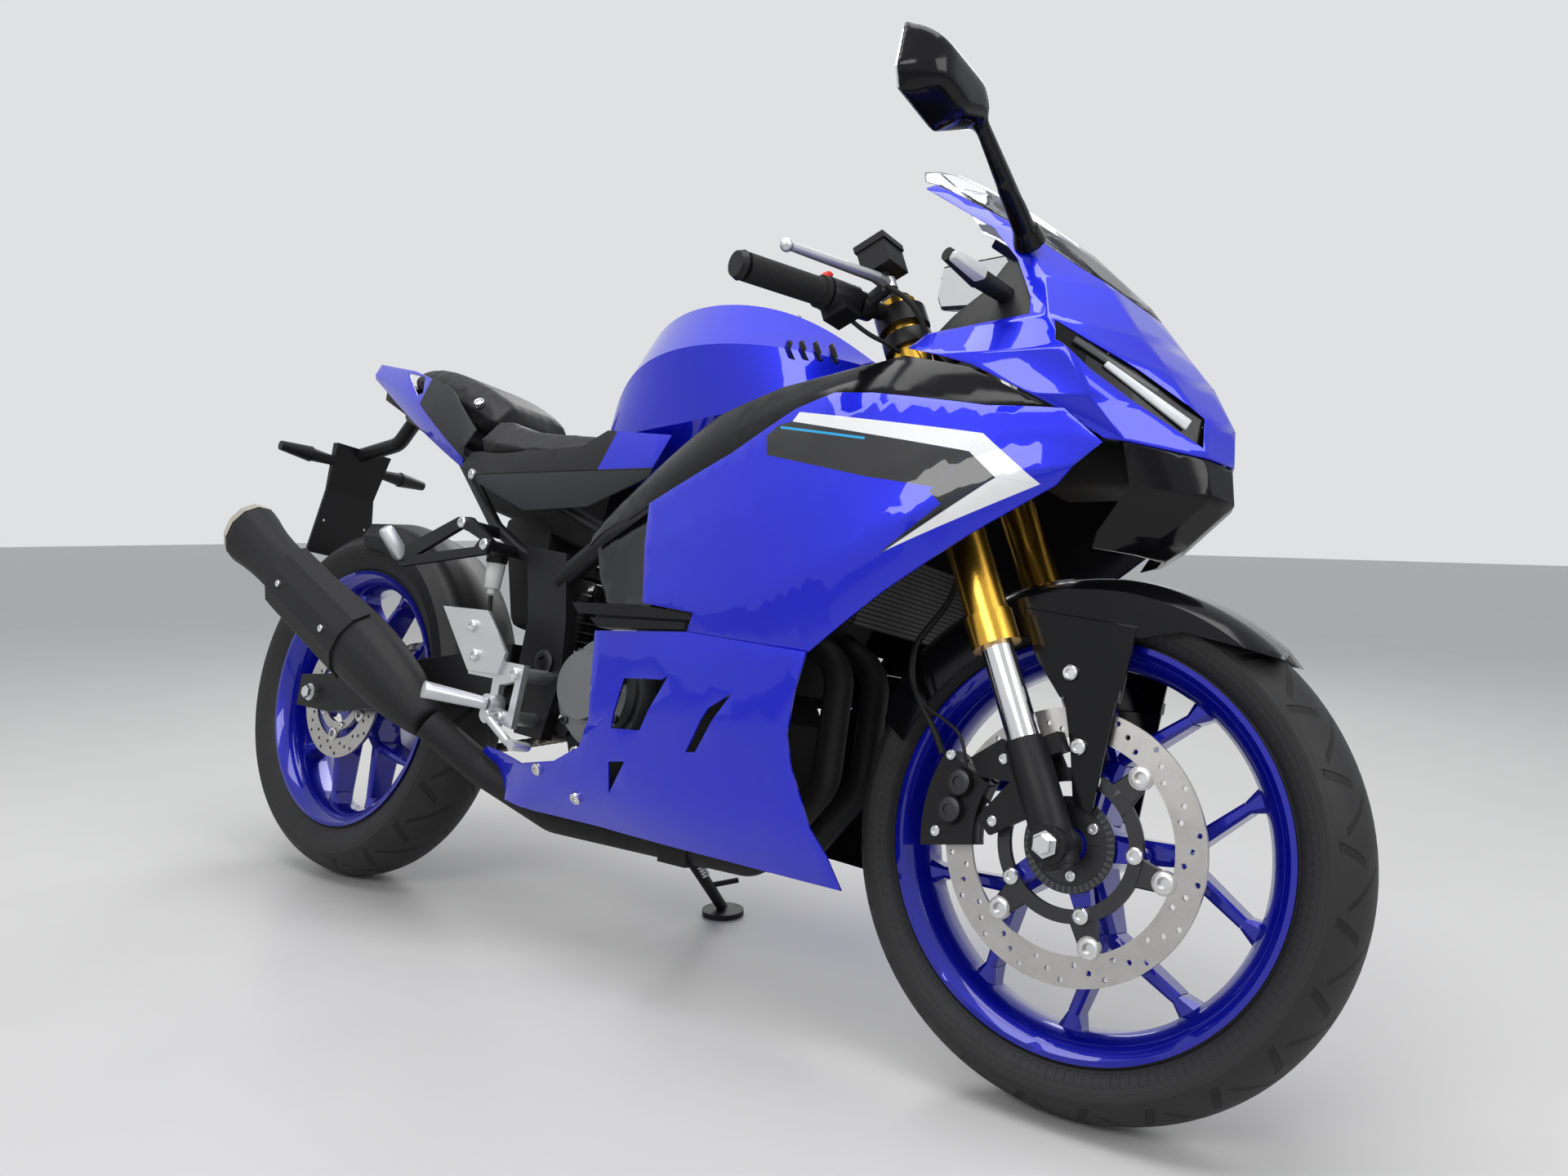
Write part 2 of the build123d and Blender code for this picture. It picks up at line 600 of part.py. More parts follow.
shock = rod((-172, 0, 434), (-150, 0, 551), 12) + rod((-169, 0, 446), (-154, 0, 532), 31)
shock = shock - rod((-150, -112, 566), (-150, 112, 566), 13 + RUNNING_GAP) - nodes["swingarm"]
nodes["rear_shock"] = main(shock)

span = math.hypot(DRIVE_X - REAR_AXLE_X, DRIVE_Z - REAR_AXLE_Z)
slope = math.degrees(math.atan2(DRIVE_Z - REAR_AXLE_Z, DRIVE_X - REAR_AXLE_X))
tilt = math.degrees(math.asin((SPROCKET_RADIUS - DRIVE_RADIUS) / span))


def belt(offset):
    """Solid outline around both sprockets at an offset from the pitch line."""
    big, small = SPROCKET_RADIUS + offset, DRIVE_RADIUS + offset
    points = []
    for side in (1, -1):
        angle = slope + side * (90 - tilt)
        x, z = polar(big, angle)
        points.append((REAR_AXLE_X + x, REAR_AXLE_Z + z))
        x, z = polar(small, angle)
        points.append((DRIVE_X + x, DRIVE_Z + z))
    quad = [points[0], points[1], points[3], points[2]]
    y0, y1 = CHAIN_Y - CHAIN_HALF_WIDTH, CHAIN_Y + CHAIN_HALF_WIDTH
    return joined(
        side_plate(quad, y0, y1),
        rod((REAR_AXLE_X, y0, REAR_AXLE_Z), (REAR_AXLE_X, y1, REAR_AXLE_Z), big),
        rod((DRIVE_X, y0, DRIVE_Z), (DRIVE_X, y1, DRIVE_Z), small),
    )


nodes["chain"] = (belt(CHAIN_HALF) - belt(-CHAIN_HALF)).solid()
drive_outer = DRIVE_RADIUS - CHAIN_HALF - RUNNING_GAP
drive = rod((DRIVE_X, CHAIN_Y - 4, DRIVE_Z), (DRIVE_X, CHAIN_Y + 4, DRIVE_Z), drive_outer)

# Engine
crankcase_outline = [(-72, 320), (-66, 440), (40, 480), (190, 460), (240, 380), (240, 290), (200, 240), (60, 228), (-40, 250)]
cylinder_outline = [(84, 450), (72, 600), (118, 668), (262, 640), (318, 560), (262, 420)]
engine = side_plate(crankcase_outline, -100, 100) + side_plate(cylinder_outline, -92, 92)
engine = engine - box(-80, -14, 62, 110, 330, 460)
engine = joined(
    engine,
    rod((-74, -PLATE_Y, 330), (-74, PLATE_Y, 330), 14),
    rod((DRIVE_X, 60, DRIVE_Z), (DRIVE_X, CHAIN_Y, DRIVE_Z), 16),
    drive,
    rod((150, -103, 660), (150, 103, 660), 12),
)
nodes["engine"] = main(engine - frame - nodes["swingarm"])
cover = joined(
    rod((14, -100, 385), (14, -128, 385), 78),
    rod((14, -128, 385), (14, -146, 385), 66),
    rod((10, -146, 393), (10, -164, 393), 48),
)
left_cover = rod((92, 100, 350), (92, 138, 350), 78) + rod((92, 138, 350), (92, 150, 350), 55)
nodes["engine_covers"] = Compound([main(cover), main(left_cover)])

# Exhaust
TAIL_ROUTE = [(140, 0, 190), (20, -10, 190), (-110, -60, 196), (-230, -118, 250), (-300, -168, 302)]
header = pipe([(282, -44, 500), (352, -44, 462), (352, -44, 310), (262, -44, 194), (130, -34, 190)], 19, 50)
collector = joined(box(100, 150, -56, 56, 168, 212), pipe(TAIL_ROUTE, 25, 50))
exhaust = joined(header, left_of(header), collector) - nodes["engine"]


def oval(centre, direction, half_wide, half_high):
    """Twelve-sided oval section across a direction in the side view."""
    along = Vector(*direction).normalized()
    across = Vector(0, 1, 0)
    up = across.cross(along) * -1
    points = []
    for index in range(12):
        u, v = polar(1, 30 * index + 15)
        points.append(tuple(Vector(*centre) + across * (half_wide * u) + up * (half_high * v)))
    return points


MUFFLER_AXIS = (-0.885, 0, 0.466)
MUFFLER_TABLE = (
    # x, y, z, half width, half height
    (-300, -168, 302, 27, 27),
    (-372, -178, 346, 42, 50),
    (-470, -186, 398, 48, 60),
    (-870, -192, 580, 48, 60),
)
muffler = skin([oval(r[:3], MUFFLER_AXIS, r[3], r[4]) for r in MUFFLER_TABLE])
nodes["muffler"] = muffler
nodes["exhaust"] = main(exhaust - muffler)
CAP_TABLE = ((-870, -192, 580, 46, 58), (-888, -192, 589, 42, 54))
cap = skin([oval(r[:3], MUFFLER_AXIS, r[3], r[4]) for r in CAP_TABLE], ruled=True)
nodes["muffler_cap"] = cap - rod((-880, -192, 585), (-920, -192, 606), 18)
GUARD_TABLE = ((-480, -186, 403, 53, 65), (-700, -190, 503, 53, 65))
guard = skin([oval(r[:3], MUFFLER_AXIS, r[3], r[4]) for r in GUARD_TABLE])
nodes["muffler_guard"] = main((guard - muffler) & box(-760, -420, -260, -200, 300, 640))

# Side stand: the leg is drawn in place and turns back about its pivot
stand_foot = Vector(STAND_FOOT_X, STAND_FOOT_REACH, STAND_FOOT_REACH * math.tan(LEAN))
stand_top = Vector(*STAND_PIVOT)
stand_down = (stand_foot - stand_top).normalized()
sole_up = Vector(0, -math.sin(LEAN), math.cos(LEAN))
stand_axis = Vector(0, -stand_down.Z, stand_down.Y).normalized()
LUG_HALF = 11.0
EAR = 12.0


def along_axis(distance):
    """A point on the stand pivot axis."""
    return tuple(stand_top + stand_axis * distance)


tang = stand_top + stand_down * 150
stand = joined(
    rod(along_axis(-LUG_HALF), along_axis(LUG_HALF), 17),
    cone(tuple(stand_top + stand_down * 8), tuple(stand_foot + sole_up * 10), 11, 9),
    Solid.make_cylinder(STAND_FOOT_RADIUS, 9, Plane(stand_foot, z_dir=sole_up)),
    rod(tuple(tang), tuple(tang + Vector(28, 46, 14)), 4.5),
)
nodes["side_stand"] = main(stand - rod(along_axis(-60), along_axis(60), 7 + GAP))
spring_off = stand_down.cross(stand_axis).normalized() * 18
spring_low = stand_top + stand_down * 130 + spring_off
spring = joined(
    rod(tuple(stand_top + stand_down * 34 + spring_off), tuple(spring_low), 8),
    rod(tuple(spring_low - stand_down * 4), tuple(spring_low - stand_down * 4 - spring_off * 0.5), 4),
)
nodes["stand_spring"] = main(spring - nodes["side_stand"])
ears = []
for side in (-1, 1):
    near, far = side * (LUG_HALF + GAP), side * (LUG_HALF + GAP + EAR)
    middle = along_axis((near + far) / 2)
    bend = moved(middle, -25, -26, 31)
    ears.append(rod(along_axis(near), along_axis(far), 18))
    ears.append(rod(middle, bend, 6))
    ears.append(Pos(*bend) * Sphere(6))
    ears.append(rod(bend, (-112, 94 + 10 * side, 316), 6))
frame = joined(frame, *ears, rod(along_axis(-22), along_axis(22), 7))

# Fuel tank
TANK_TABLE = (
    # x, bottom z, bottom half, flare z, flare half, shoulder z, shoulder half, crown z, crown half
    (334, 800, 40, 826, 78, 858, 70, 872, 40),
    (262, 772, 70, 800, 118, 866, 122, 916, 62),
    (150, 736, 84, 778, 132, 872, 154, 952, 84),
    (40, 706, 90, 766, 128, 862, 152, 954, 90),
    (-46, 702, 90, 760, 112, 836, 118, 920, 74),
    (-92, 704, 84, 740, 96, 780, 90, 812, 60),
)
CAP_X = 120.0
CAP_Z = 950.0


def ring_of(x, pairs):
    """A closed symmetric cross-section at x from (z, half width) pairs, bottom to top."""
    right = [(x, -half, z) for z, half in pairs]
    left = [(x, half, z) for z, half in reversed(pairs)]
    return right + left


tank = skin([ring_of(r[0], [(r[i], r[i + 1]) for i in (1, 3, 5, 7)]) for r in TANK_TABLE])
tank = tank - box(CAP_X - 58, CAP_X + 58, -52, 52, CAP_Z, CAP_Z + 40)
VENT_TABLE = ((240, 119), (257, 115), (274, 107), (291, 94))
for x, half in VENT_TABLE:
    vent = side_plate([(x, 884), (x + 9, 882), (x + 25, 852), (x + 16, 854)], -200, 6 - half)
    tank = tank - vent - left_of(vent)
nodes["fuel_tank"] = main(tank - frame)
tank_post = rod((40, -116, 634), (40, 116, 634), 9) + box(30, 50, -34, 34, 634, 720)
frame = frame + main(tank_post - nodes["fuel_tank"])
hinge_x = CAP_X + 51
hinge_z = CAP_Z + 8
bezel = joined(
    rod((CAP_X, 0, CAP_Z), (CAP_X, 0, CAP_Z + 4), 47) - rod((CAP_X, 0, CAP_Z - 1), (CAP_X, 0, CAP_Z + 9), 30),
    box(CAP_X + 40, hinge_x + 5, -16, 16, CAP_Z, CAP_Z + 2.5),
    box(hinge_x - 5, hinge_x + 5, -16, -8, CAP_Z, CAP_Z + 12),
    box(hinge_x - 5, hinge_x + 5, 8, 16, CAP_Z, CAP_Z + 12),
    rod((hinge_x, -16, hinge_z), (hinge_x, 16, hinge_z), 2.4),
)
nodes["cap_bezel"] = main(bezel)
lid = joined(
    rod((CAP_X, 0, CAP_Z + 4 + GAP), (CAP_X, 0, CAP_Z + 11), 43),
    box(CAP_X + 36, hinge_x, -7.6, 7.6, CAP_Z + 4 + GAP, CAP_Z + 11),
    rod((hinge_x, -7.6, hinge_z), (hinge_x, 7.6, hinge_z), 4.6),
)
nodes["fuel_cap"] = main(lid - rod((hinge_x, -20, hinge_z), (hinge_x, 20, hinge_z), 2.4 + GAP))

# Seats
SEAT_TABLE = (
    # x, bottom z, bottom half, side z, side half, top z, top half
    (-96, 716, 62, 748, 84, 776, 56),
    (-180, 716, 100, 744, 124, 774, 84),
    (-290, 722, 118, 752, 140, 786, 96),
    (-360, 736, 112, 768, 130, 812, 92),
)
PILLION_TABLE = (
    (-365, 780, 70, 800, 92, 836, 62),
    (-470, 806, 78, 842, 102, 884, 72),
    (-600, 852, 64, 886, 84, 920, 60),
    (-676, 884, 40, 908, 54, 930, 36),
)
rider = skin([ring_of(r[0], [(r[i], r[i + 1]) for i in (1, 3, 5)]) for r in SEAT_TABLE])
nodes["rider_seat"] = main(rider - nodes["fuel_tank"])
pillion = skin([ring_of(r[0], [(r[i], r[i + 1]) for i in (1, 3, 5)]) for r in PILLION_TABLE])
nodes["pillion_seat"] = main(pillion - nodes["rider_seat"])

# Body panels: each is a thin skin through rail points, cut to its side outline


def shell_strip(rails, thickness):
    """Cross-section of a side panel from its (x, y, z) rail points, right-hand side, wall inwards."""
    outer = [(x, -y, z) for x, y, z in rails]
    inner = [(x, -y + thickness, z) for x, y, z in reversed(rails)]
    return outer + inner


def rails_of(row):
    """Rail points of one station of a panel table."""
    return [(row[0], row[i], row[i + 1]) for i in range(1, len(row), 2)]


def panel(table, outline, *windows):
    """A right-hand panel cut from its skin, with windows."""
    body = skin([shell_strip(rails_of(row), PANEL) for row in table])
    body = body & side_plate(outline, -300, 0)
    for window in windows:
        body = body - side_plate(window, -300, 0)
    return main(body)


# Tail
TAIL_TABLE = (
    # x, low half, low z, belt half, belt z, top half, top z
    (-370, 118, 700, 132, 742, 116, 800),
    (-480, 112, 742, 128, 800, 110, 862),
    (-620, 92, 806, 104, 862, 86, 910),
    (-770, 62, 880, 72, 916, 60, 940),
)
TAIL_OUTLINE = [(-392, 716), (-372, 780), (-470, 860), (-620, 908), (-772, 940), (-764, 906), (-560, 800)]
tail = panel(TAIL_TABLE, TAIL_OUTLINE, [(-640, 905), (-572, 890), (-552, 856), (-566, 852)])
tail = main(tail - nodes["pillion_seat"] - nodes["rider_seat"])
nodes["tail_cowl"] = both(tail)
undertail = skin(
    [
        ring_of(-420, [(742, 60), (794, 66)]),
        ring_of(-600, [(806, 56), (866, 58)]),
        ring_of(-752, [(872, 50), (918, 52)]),
    ],
    ruled=True,
)
for x, z in ((-500, 812), (-660, 872)):
    tail_stay = main(rod((x, 0, z), (x, -150, z), 6) - tail)
    undertail = joined(undertail, tail_stay, left_of(tail_stay))
undertail = main(undertail - frame - nodes["pillion_seat"] - nodes["tail_cowl"])
lamp = skin([ring_of(-752, [(880, 46), (908, 48)]), ring_of(-772, [(890, 34), (910, 36)])], ruled=True)
nodes["tail_lamp"] = lamp
PLATE_ROWS = ((790, -868, -884, 60), (700, PLATE_X, PLATE_X - PLATE_THICKNESS, 52))
PLATE_ROWS += ((574, PLATE_X, PLATE_X - PLATE_THICKNESS, 70),)
plate_holder = skin([[(a, -h, z), (a, h, z), (b, h, z), (b, -h, z)] for z, a, b, h in PLATE_ROWS], ruled=True)
hanger = joined(undertail, pipe([(-700, 0, 868), (-760, 0, 800), (-880, 0, 780)], 14, 40), plate_holder)
for side in (-1, 1):
    y = side * PLATE_HOLE_HALF
    hanger = hanger - rod((-870, y, PLATE_HOLE_Z), (-930, y, PLATE_HOLE_Z), PLATE_HOLE_RADIUS)
nodes["plate_hanger"] = main(hanger - lamp)
rear_flasher = cone((-884, -52, 756), (-888, -100, 757), 9, 13) + cone((-888, -100, 757), (-892, -160, 758), 15, 9)
rear_flasher = main(rear_flasher - nodes["plate_hanger"])

# Side covers under the seat
COVER_TABLE = (
    (96, 146, 660, 152, 705, 148, 760),
    (-40, 142, 640, 147, 700, 140, 766),
    (-200, 138, 632, 144, 690, 134, 742),
    (-400, 120, 690, 124, 726, 118, 760),
)
COVER_OUTLINE = [
    (92, 748),
    (60, 690),
    (-60, 648),
    (-200, 642),
    (-330, 688),
    (-388, 716),
    (-372, 742),
    (-300, 742),
    (-180, 738),
    (-92, 740),
    (-44, 762),
]
side_cover = panel(COVER_TABLE, COVER_OUTLINE)
side_cover = main(side_cover - nodes["fuel_tank"] - nodes["rider_seat"] - frame)
nodes["side_covers"] = both(side_cover)

# Fairing
FAIRING_TABLE = (
    # x, low half, low z, crease half, crease z, mid half, mid z, top half, top z
    (110, 212, 470, 218, 500, 216, 580, 205, 670),
    (220, 214, 455, 224, 500, 226, 600, 212, 720),
    (340, 212, 440, 230, 520, 232, 620, 205, 790),
    (460, 200, 470, 228, 580, 226, 650, 195, 800),
    (580, 178, 560, 208, 650, 204, 700, 178, 790),
    (690, 140, 640, 168, 690, 165, 720, 150, 770),
    (745, 110, 670, 135, 705, 132, 725, 122, 760),
)
FAIRING_OUTLINE = [
    (155, 505),
    (131, 637),
    (163, 652),
    (263, 700),
    (348, 755),
    (398, 774),
    (451, 772),
    (592, 755),
    (671, 755),
    (714, 719),
    (674, 669),
    (594, 612),
    (502, 540),
    (414, 464),
    (236, 474),
    (246, 497),
]
fairing = panel(FAIRING_TABLE, FAIRING_OUTLINE)

COWL_TABLE = (
    # x, keel half, keel z, chine half, chine z, belt half, belt z, seam half, seam z
    (-240, 84, 200, 104, 220, 128, 262, 140, 300),
    (-60, 100, 190, 135, 225, 165, 300, 195, 440),
    (60, 110, 190, 158, 250, 195, 350, 214, 480),
    (180, 115, 190, 168, 260, 205, 370, 220, 480),
    (300, 110, 190, 165, 265, 208, 370, 222, 480),
    (420, 95, 190, 150, 260, 195, 370, 214, 480),
    (500, 80, 190, 125, 250, 165, 360, 190, 480),
)
COWL_OUTLINE = [
    (70, 465),
    (236, 473.6),
    (414, 463.6),
    (402, 420),
    (394, 367),
    (395, 331),
    (410, 269),
    (424, 234),
    (430, 194),
    (276, 200),
    (39, 205),
    (-96, 204),
    (-200, 214),
    (-232, 262),
    (-200, 284),
    (-110, 270),
    (-20, 284),
    (40, 310),
    (66, 350),
]
cowl = panel(
    COWL_TABLE,
    COWL_OUTLINE,
    [(132, 408), (200, 412), (211, 418), (161, 345), (108, 342)],
    [(280, 385), (316, 407), (255, 330), (239, 328)],
    [(98, 298), (129, 302), (93, 256)],
)
cowl = main(cowl - pipe(TAIL_ROUTE, 30, 50))
cowl_left = main(left_of(cowl) - box(-400, 14, 0, 300, 100, 400))
nodes["lower_cowls"] = Compound([cowl, cowl_left])

# Black side ducts: a recessed panel behind the fairing edge and two fins above the lower cowl
DUCT_TABLE = ((-6, 170, 486, 168, 660), (110, 198, 486, 194, 660), (176, 218, 486, 216, 660))
DUCT_OUTLINE = [(8, 582), (131, 634), (152, 634), (172, 512), (172, 500), (60, 500), (26, 538)]
duct = panel(DUCT_TABLE, DUCT_OUTLINE)
fins = joined(
    side_plate([(34, 500), (240, 500), (232, 478), (74, 470)], -201, -197),
    side_plate([(28, 499), (152, 503), (240, 495), (243, 488), (44, 485)], -222, -197),
    side_plate([(66, 481), (234, 485), (234, 476), (84, 469)], -222, -197),
)
duct = main(joined(duct, fins) - fairing - cowl)
nodes["side_ducts"] = both(duct)

TRIM_TABLE = (
    # x, low half, low z, mid half, mid z, top half, top z
    (-20, 176, 560, 172, 590, 160, 640),
    (120, 206, 625, 198, 670, 172, 730),
    (250, 214, 686, 204, 730, 172, 800),
    (400, 202, 768, 192, 790, 166, 830),
    (540, 190, 752, 184, 790, 172, 850),
    (670, 164, 740, 160, 760, 154, 800),
)
TRIM_OUTLINE = [
    (0, 576),
    (0, 602),
    (110, 690),
    (200, 760),
    (300, 795),
    (400, 812),
    (470, 824),
    (560, 802),
    (652, 758),
    (592, 755.4),
    (451, 772.4),
    (398, 774.4),
    (348, 755.4),
    (263, 700.4),
    (163, 652.4),
    (131, 637.4),
]
trim = panel(TRIM_TABLE, TRIM_OUTLINE)

# Nose: level sections from the rear edge round to the middle, then split into cowl and windscreen
NOSE_TABLE = (
    # z, rear x, rear half, side x, side half, corner x, corner half, middle x
    (728, 662, 168, 726, 124, 790, 44, 806),
    (770, 560, 186, 695, 158, 778, 58, 803),
    (820, 470, 184, 668, 172, 748, 70, 775),
    (860, 460, 152, 640, 163, 716, 80, 742),
    (925, 530, 146, 612, 126, 668, 72, 691),
    (1000, 500, 124, 552, 108, 592, 66, 612),
    (1070, 420, 100, 462, 92, 500, 60, 520),
    (1116, 392, 68, 412, 62, 432, 42, 450),
)
NOSE_OUTLINE = [
    (470, 834),
    (560, 806),
    (654, 760),
    (718, 722),
    (735, 700),
    (860, 690),
    (860, 812),
    (715, 900),
    (636, 948),
    (556, 1004),
    (424, 1085),
    (414, 1078),
    (531, 999),
    (573, 951),
    (606, 892),
    (614, 868),
    (484, 857),
]
SCREEN_OUTLINE = [
    (860, 812.4),
    (715, 900.4),
    (636, 948.4),
    (556, 1004.4),
    (424, 1085.4),
    (380, 1104),
    (380, 1200),
    (860, 1200),
]


def level_ring(z, points, wall):
    """A closed symmetric level section with an even wall, from right-hand (x, half width) points."""
    outer = [(x, -half, z) for x, half in points] + [(x, half, z) for x, half in reversed(points[:-1])]
    shrunk = [(x - wall * 1.3, max(half - wall, 0)) for x, half in points]
    shrunk[0] = (points[0][0], points[0][1] - wall)
    inner = [(x, half, z) for x, half in shrunk] + [(x, -half, z) for x, half in reversed(shrunk[:-1])]
    return outer + inner


nose_levels = [(r[0], [(r[1], r[2]), (r[3], r[4]), (r[5], r[6]), (r[7], 0)]) for r in NOSE_TABLE]
nose_skin = skin([level_ring(z, points, PANEL) for z, points in nose_levels], ruled=True)
nose = main(nose_skin & side_plate(NOSE_OUTLINE, -300, 300))
screen = main(nose_skin & side_plate(SCREEN_OUTLINE, -300, 300))
nodes["windscreen"] = screen
LAMP_TABLE = (
    # x, half, low z, high z along the right headlamp slot
    (652, 166, 830, 857),
    (684, 145, 802, 838),
    (727, 108, 772, 814),
    (786, 50, 739, 773),
)
LAMP_IN = (-0.62, 0.78)


def lamp_bar(near, far, spare):
    """A bar along the right headlamp slot, from near to far inwards of the nose skin."""
    sections = []
    for x, half, low, high in LAMP_TABLE:
        front = (x + LAMP_IN[0] * near, LAMP_IN[1] * near - half)
        back = (x + LAMP_IN[0] * far, LAMP_IN[1] * far - half)
        z0, z1 = low + spare, high - spare
        sections.append([(*front, z1), (*front, z0), (*back, z0), (*back, z1)])
    return skin(sections, ruled=True)


slot = lamp_bar(-40, 46, 0)
lamp_body = lamp_bar(10, 44, GAP)
nose = nose - slot - left_of(slot) - frame
nodes["nose_cowl"] = main(nose)
lamp_body = main(lamp_body - nodes["nose_cowl"] - frame)
nodes["headlamps"] = both(lamp_body)
fairing = main(fairing - nodes["nose_cowl"])
nodes["side_fairings"] = both(fairing)
trim = main(trim - nodes["nose_cowl"] - fairing)
nodes["shoulder_trims"] = both(trim)

# Black inner panels beside the dash
INNER_TABLE = ((474, 141, 850, 120, 960), (540, 151, 852, 112, 965), (622, 162, 858, 116, 960))
INNER_OUTLINE = [(484, 857.4), (614, 868.4), (605, 892), (572, 951), (556, 952), (540, 914), (506, 884)]
inner_panel = main(panel(INNER_TABLE, INNER_OUTLINE) - nodes["nose_cowl"])
nodes["inner_panels"] = both(inner_panel)

# Stays that carry the panels
lamp_stay = main(rod((655, -140, 806), (655, 140, 806), 8) - nodes["headlamps"] - nodes["nose_cowl"])
stay_bar = main(rod((600, -210, 822), (600, 210, 822), 8) - nodes["nose_cowl"])
bridge = box(596, 660, -20, 20, 800, 826)
fairing_stay = main(rod((236, -112, 706), (250, -240, 668), 6) - fairing)
frame = joined(frame, bridge, stay_bar, lamp_stay, fairing_stay, left_of(fairing_stay))
cowl_stay = main(rod((190, -90, 300), (200, -230, 310), 6) - cowl)
nodes["engine"] = joined(nodes["engine"], cowl_stay, left_of(cowl_stay))

CHIN_TABLE = (
    (620, 684, 78, 720, 44, 740),
    (636, 690, 84, 746, 40, 762),
    (686, 726, 96, 796, 36, 810),
    (727.6, 724, 122, 788, 43, 804),
)
chin = skin([level_ring(r[0], [(r[1], r[2]), (r[3], r[4]), (r[5], 0)], PANEL) for r in CHIN_TABLE], ruled=True)
nodes["nose_duct"] = main(chin - nodes["nose_cowl"])

# Cockpit
dash = skin(
    [
        [(506, -58, 918), (506, 58, 918), (546, 54, 900), (546, -54, 900)],
        [(526, -58, 966), (526, 58, 966), (564, 50, 948), (564, -50, 948)],
    ],
    ruled=True,
)
nodes["dash"] = main(dash + box(536, 552, -14, 14, 826, 920) - frame)

# Mirrors: the left one is folded back about its foot
MIRROR_FOOT = (584, 122)
MIRROR_FOLD = 80.0
MIRROR_TABLE = (
    # x, then y and z of the corners round the shell
    (562, 401, 1086, 405, 1038, 395, 1017, 323, 1008, 257, 1044, 280, 1082),
    (584, 396, 1082, 400, 1039, 390, 1020, 325, 1012, 261, 1044, 283, 1078),
    (600, 384, 1073, 387, 1041, 380, 1027, 329, 1020, 272, 1045, 291, 1069),
    (608, 366, 1061, 368, 1044, 364, 1035, 336, 1031, 300, 1045, 312, 1059),
)
mirror_shell = skin([[(r[0], -r[i], r[i + 1]) for i in range(1, 13, 2)] for r in MIRROR_TABLE])
mirror_glass = skin([[(x, -y, z) for y, z in ((397, 1081), (401, 1040), (392, 1021), (324, 1013), (262, 1045), (284, 1077))] for x in (559, 562)])
mirror_stem = cone((580, -112, 974), (588, -286, 1048), 14, 9) + cone((580, -112, 974), (582, -132, 984), 20, 15)
mirror_right = main((mirror_stem + mirror_shell) - nodes["nose_cowl"] - screen)
turn = Pos(MIRROR_FOOT[0], MIRROR_FOOT[1], 0) * Rot(0, 0, MIRROR_FOLD) * Pos(-MIRROR_FOOT[0], -MIRROR_FOOT[1], 0)
mirror_left = main(turn * left_of(mirror_stem + mirror_shell) - nodes["nose_cowl"] - screen)
nodes["mirrors"] = Compound([mirror_right, mirror_left])
nodes["mirror_glass"] = Compound([mirror_glass, turn * left_of(mirror_glass).solid()])
front_flasher = cone((575, -124, 900), (556, -180, 908), 10, 12) + cone((556, -180, 908), (542, -230, 917), 13, 8)
front_flasher = main(front_flasher - nodes["nose_cowl"] - nodes["inner_panels"])
nodes["indicators"] = Compound(
    [front_flasher, left_of(front_flasher).solid(), rear_flasher, left_of(rear_flasher).solid()]
)

# Radiator, rear hugger, rear brake and footrests
radiator = skin(
    [
        [(418, -128, 508), (418, 128, 508), (388, 128, 516), (388, -128, 516)],
        [(440, -128, 604), (440, 128, 604), (410, 128, 612), (410, -128, 612)],
    ],
    ruled=True,
)
radiator = radiator + rod((250, -60, 560), (410, -60, 560), 9) + rod((250, 60, 560), (410, 60, 560), 9)
nodes["radiator"] = main(radiator - nodes["engine"] - nodes["exhaust"])
HUG_CROWN = REAR_TYRE_RADIUS + 14
HUG_HALF = REAR_TYRE_WIDTH / 2 + 10
hug_outer = [(-HUG_HALF, HUG_CROWN - 60), (-HUG_HALF, HUG_CROWN - 38), (20 - HUG_HALF, HUG_CROWN - 12), (0, HUG_CROWN)]
hug_inner = [(y + 3 if y < 0 else 0, r - PANEL) for y, r in hug_outer]
hug_inner[0] = (hug_inner[0][0], HUG_CROWN - 60)
hug_profile = hug_outer + [(-y, r) for y, r in reversed(hug_outer[:-1])]
hug_full = REAR_HUB * turned(hug_profile + [(HUG_HALF, 200), (-HUG_HALF, 200)])
hug_profile += [(-y, r) for y, r in hug_inner[:-1]] + list(reversed(hug_inner))
HUG_OUTLINE = [(-380, 340), (-300, 420), (-480, 660), (-720, 660), (-690, 590), (-520, 500), (-420, 380)]
hugger = main(REAR_HUB * turned(hug_profile) & side_plate(HUG_OUTLINE, -100, 100))
hug_stay = box(-440, -400, -ARM_INNER_HALF, -74, 392, 402)
nodes["rear_hugger"] = main(hugger + (hug_stay - hug_full))
rear_caliper = joined(
    box(-640, -580, REAR_DISC_Y - 26, REAR_DISC_Y - 8, 356, 418),
    box(-640, -580, REAR_DISC_Y + 8, REAR_DISC_Y + 18, 356, 418),
    box(-580, -566, REAR_DISC_Y - 26, REAR_DISC_Y + 18, 356, 418),
    box(-650, -600, -ARM_INNER_HALF, REAR_DISC_Y - 20, 330, 380),
)
nodes["rear_brake"] = rear_caliper
HEEL_OUTLINE = [(-273, 481), (-170, 480), (-115, 422), (-125, 391), (-192, 391)]
STEP_OUTLINE = [(-78, 408), (-120, 410), (-200, 396), (-196, 386), (-140, 384), (-140, 328), (-84, 318)]
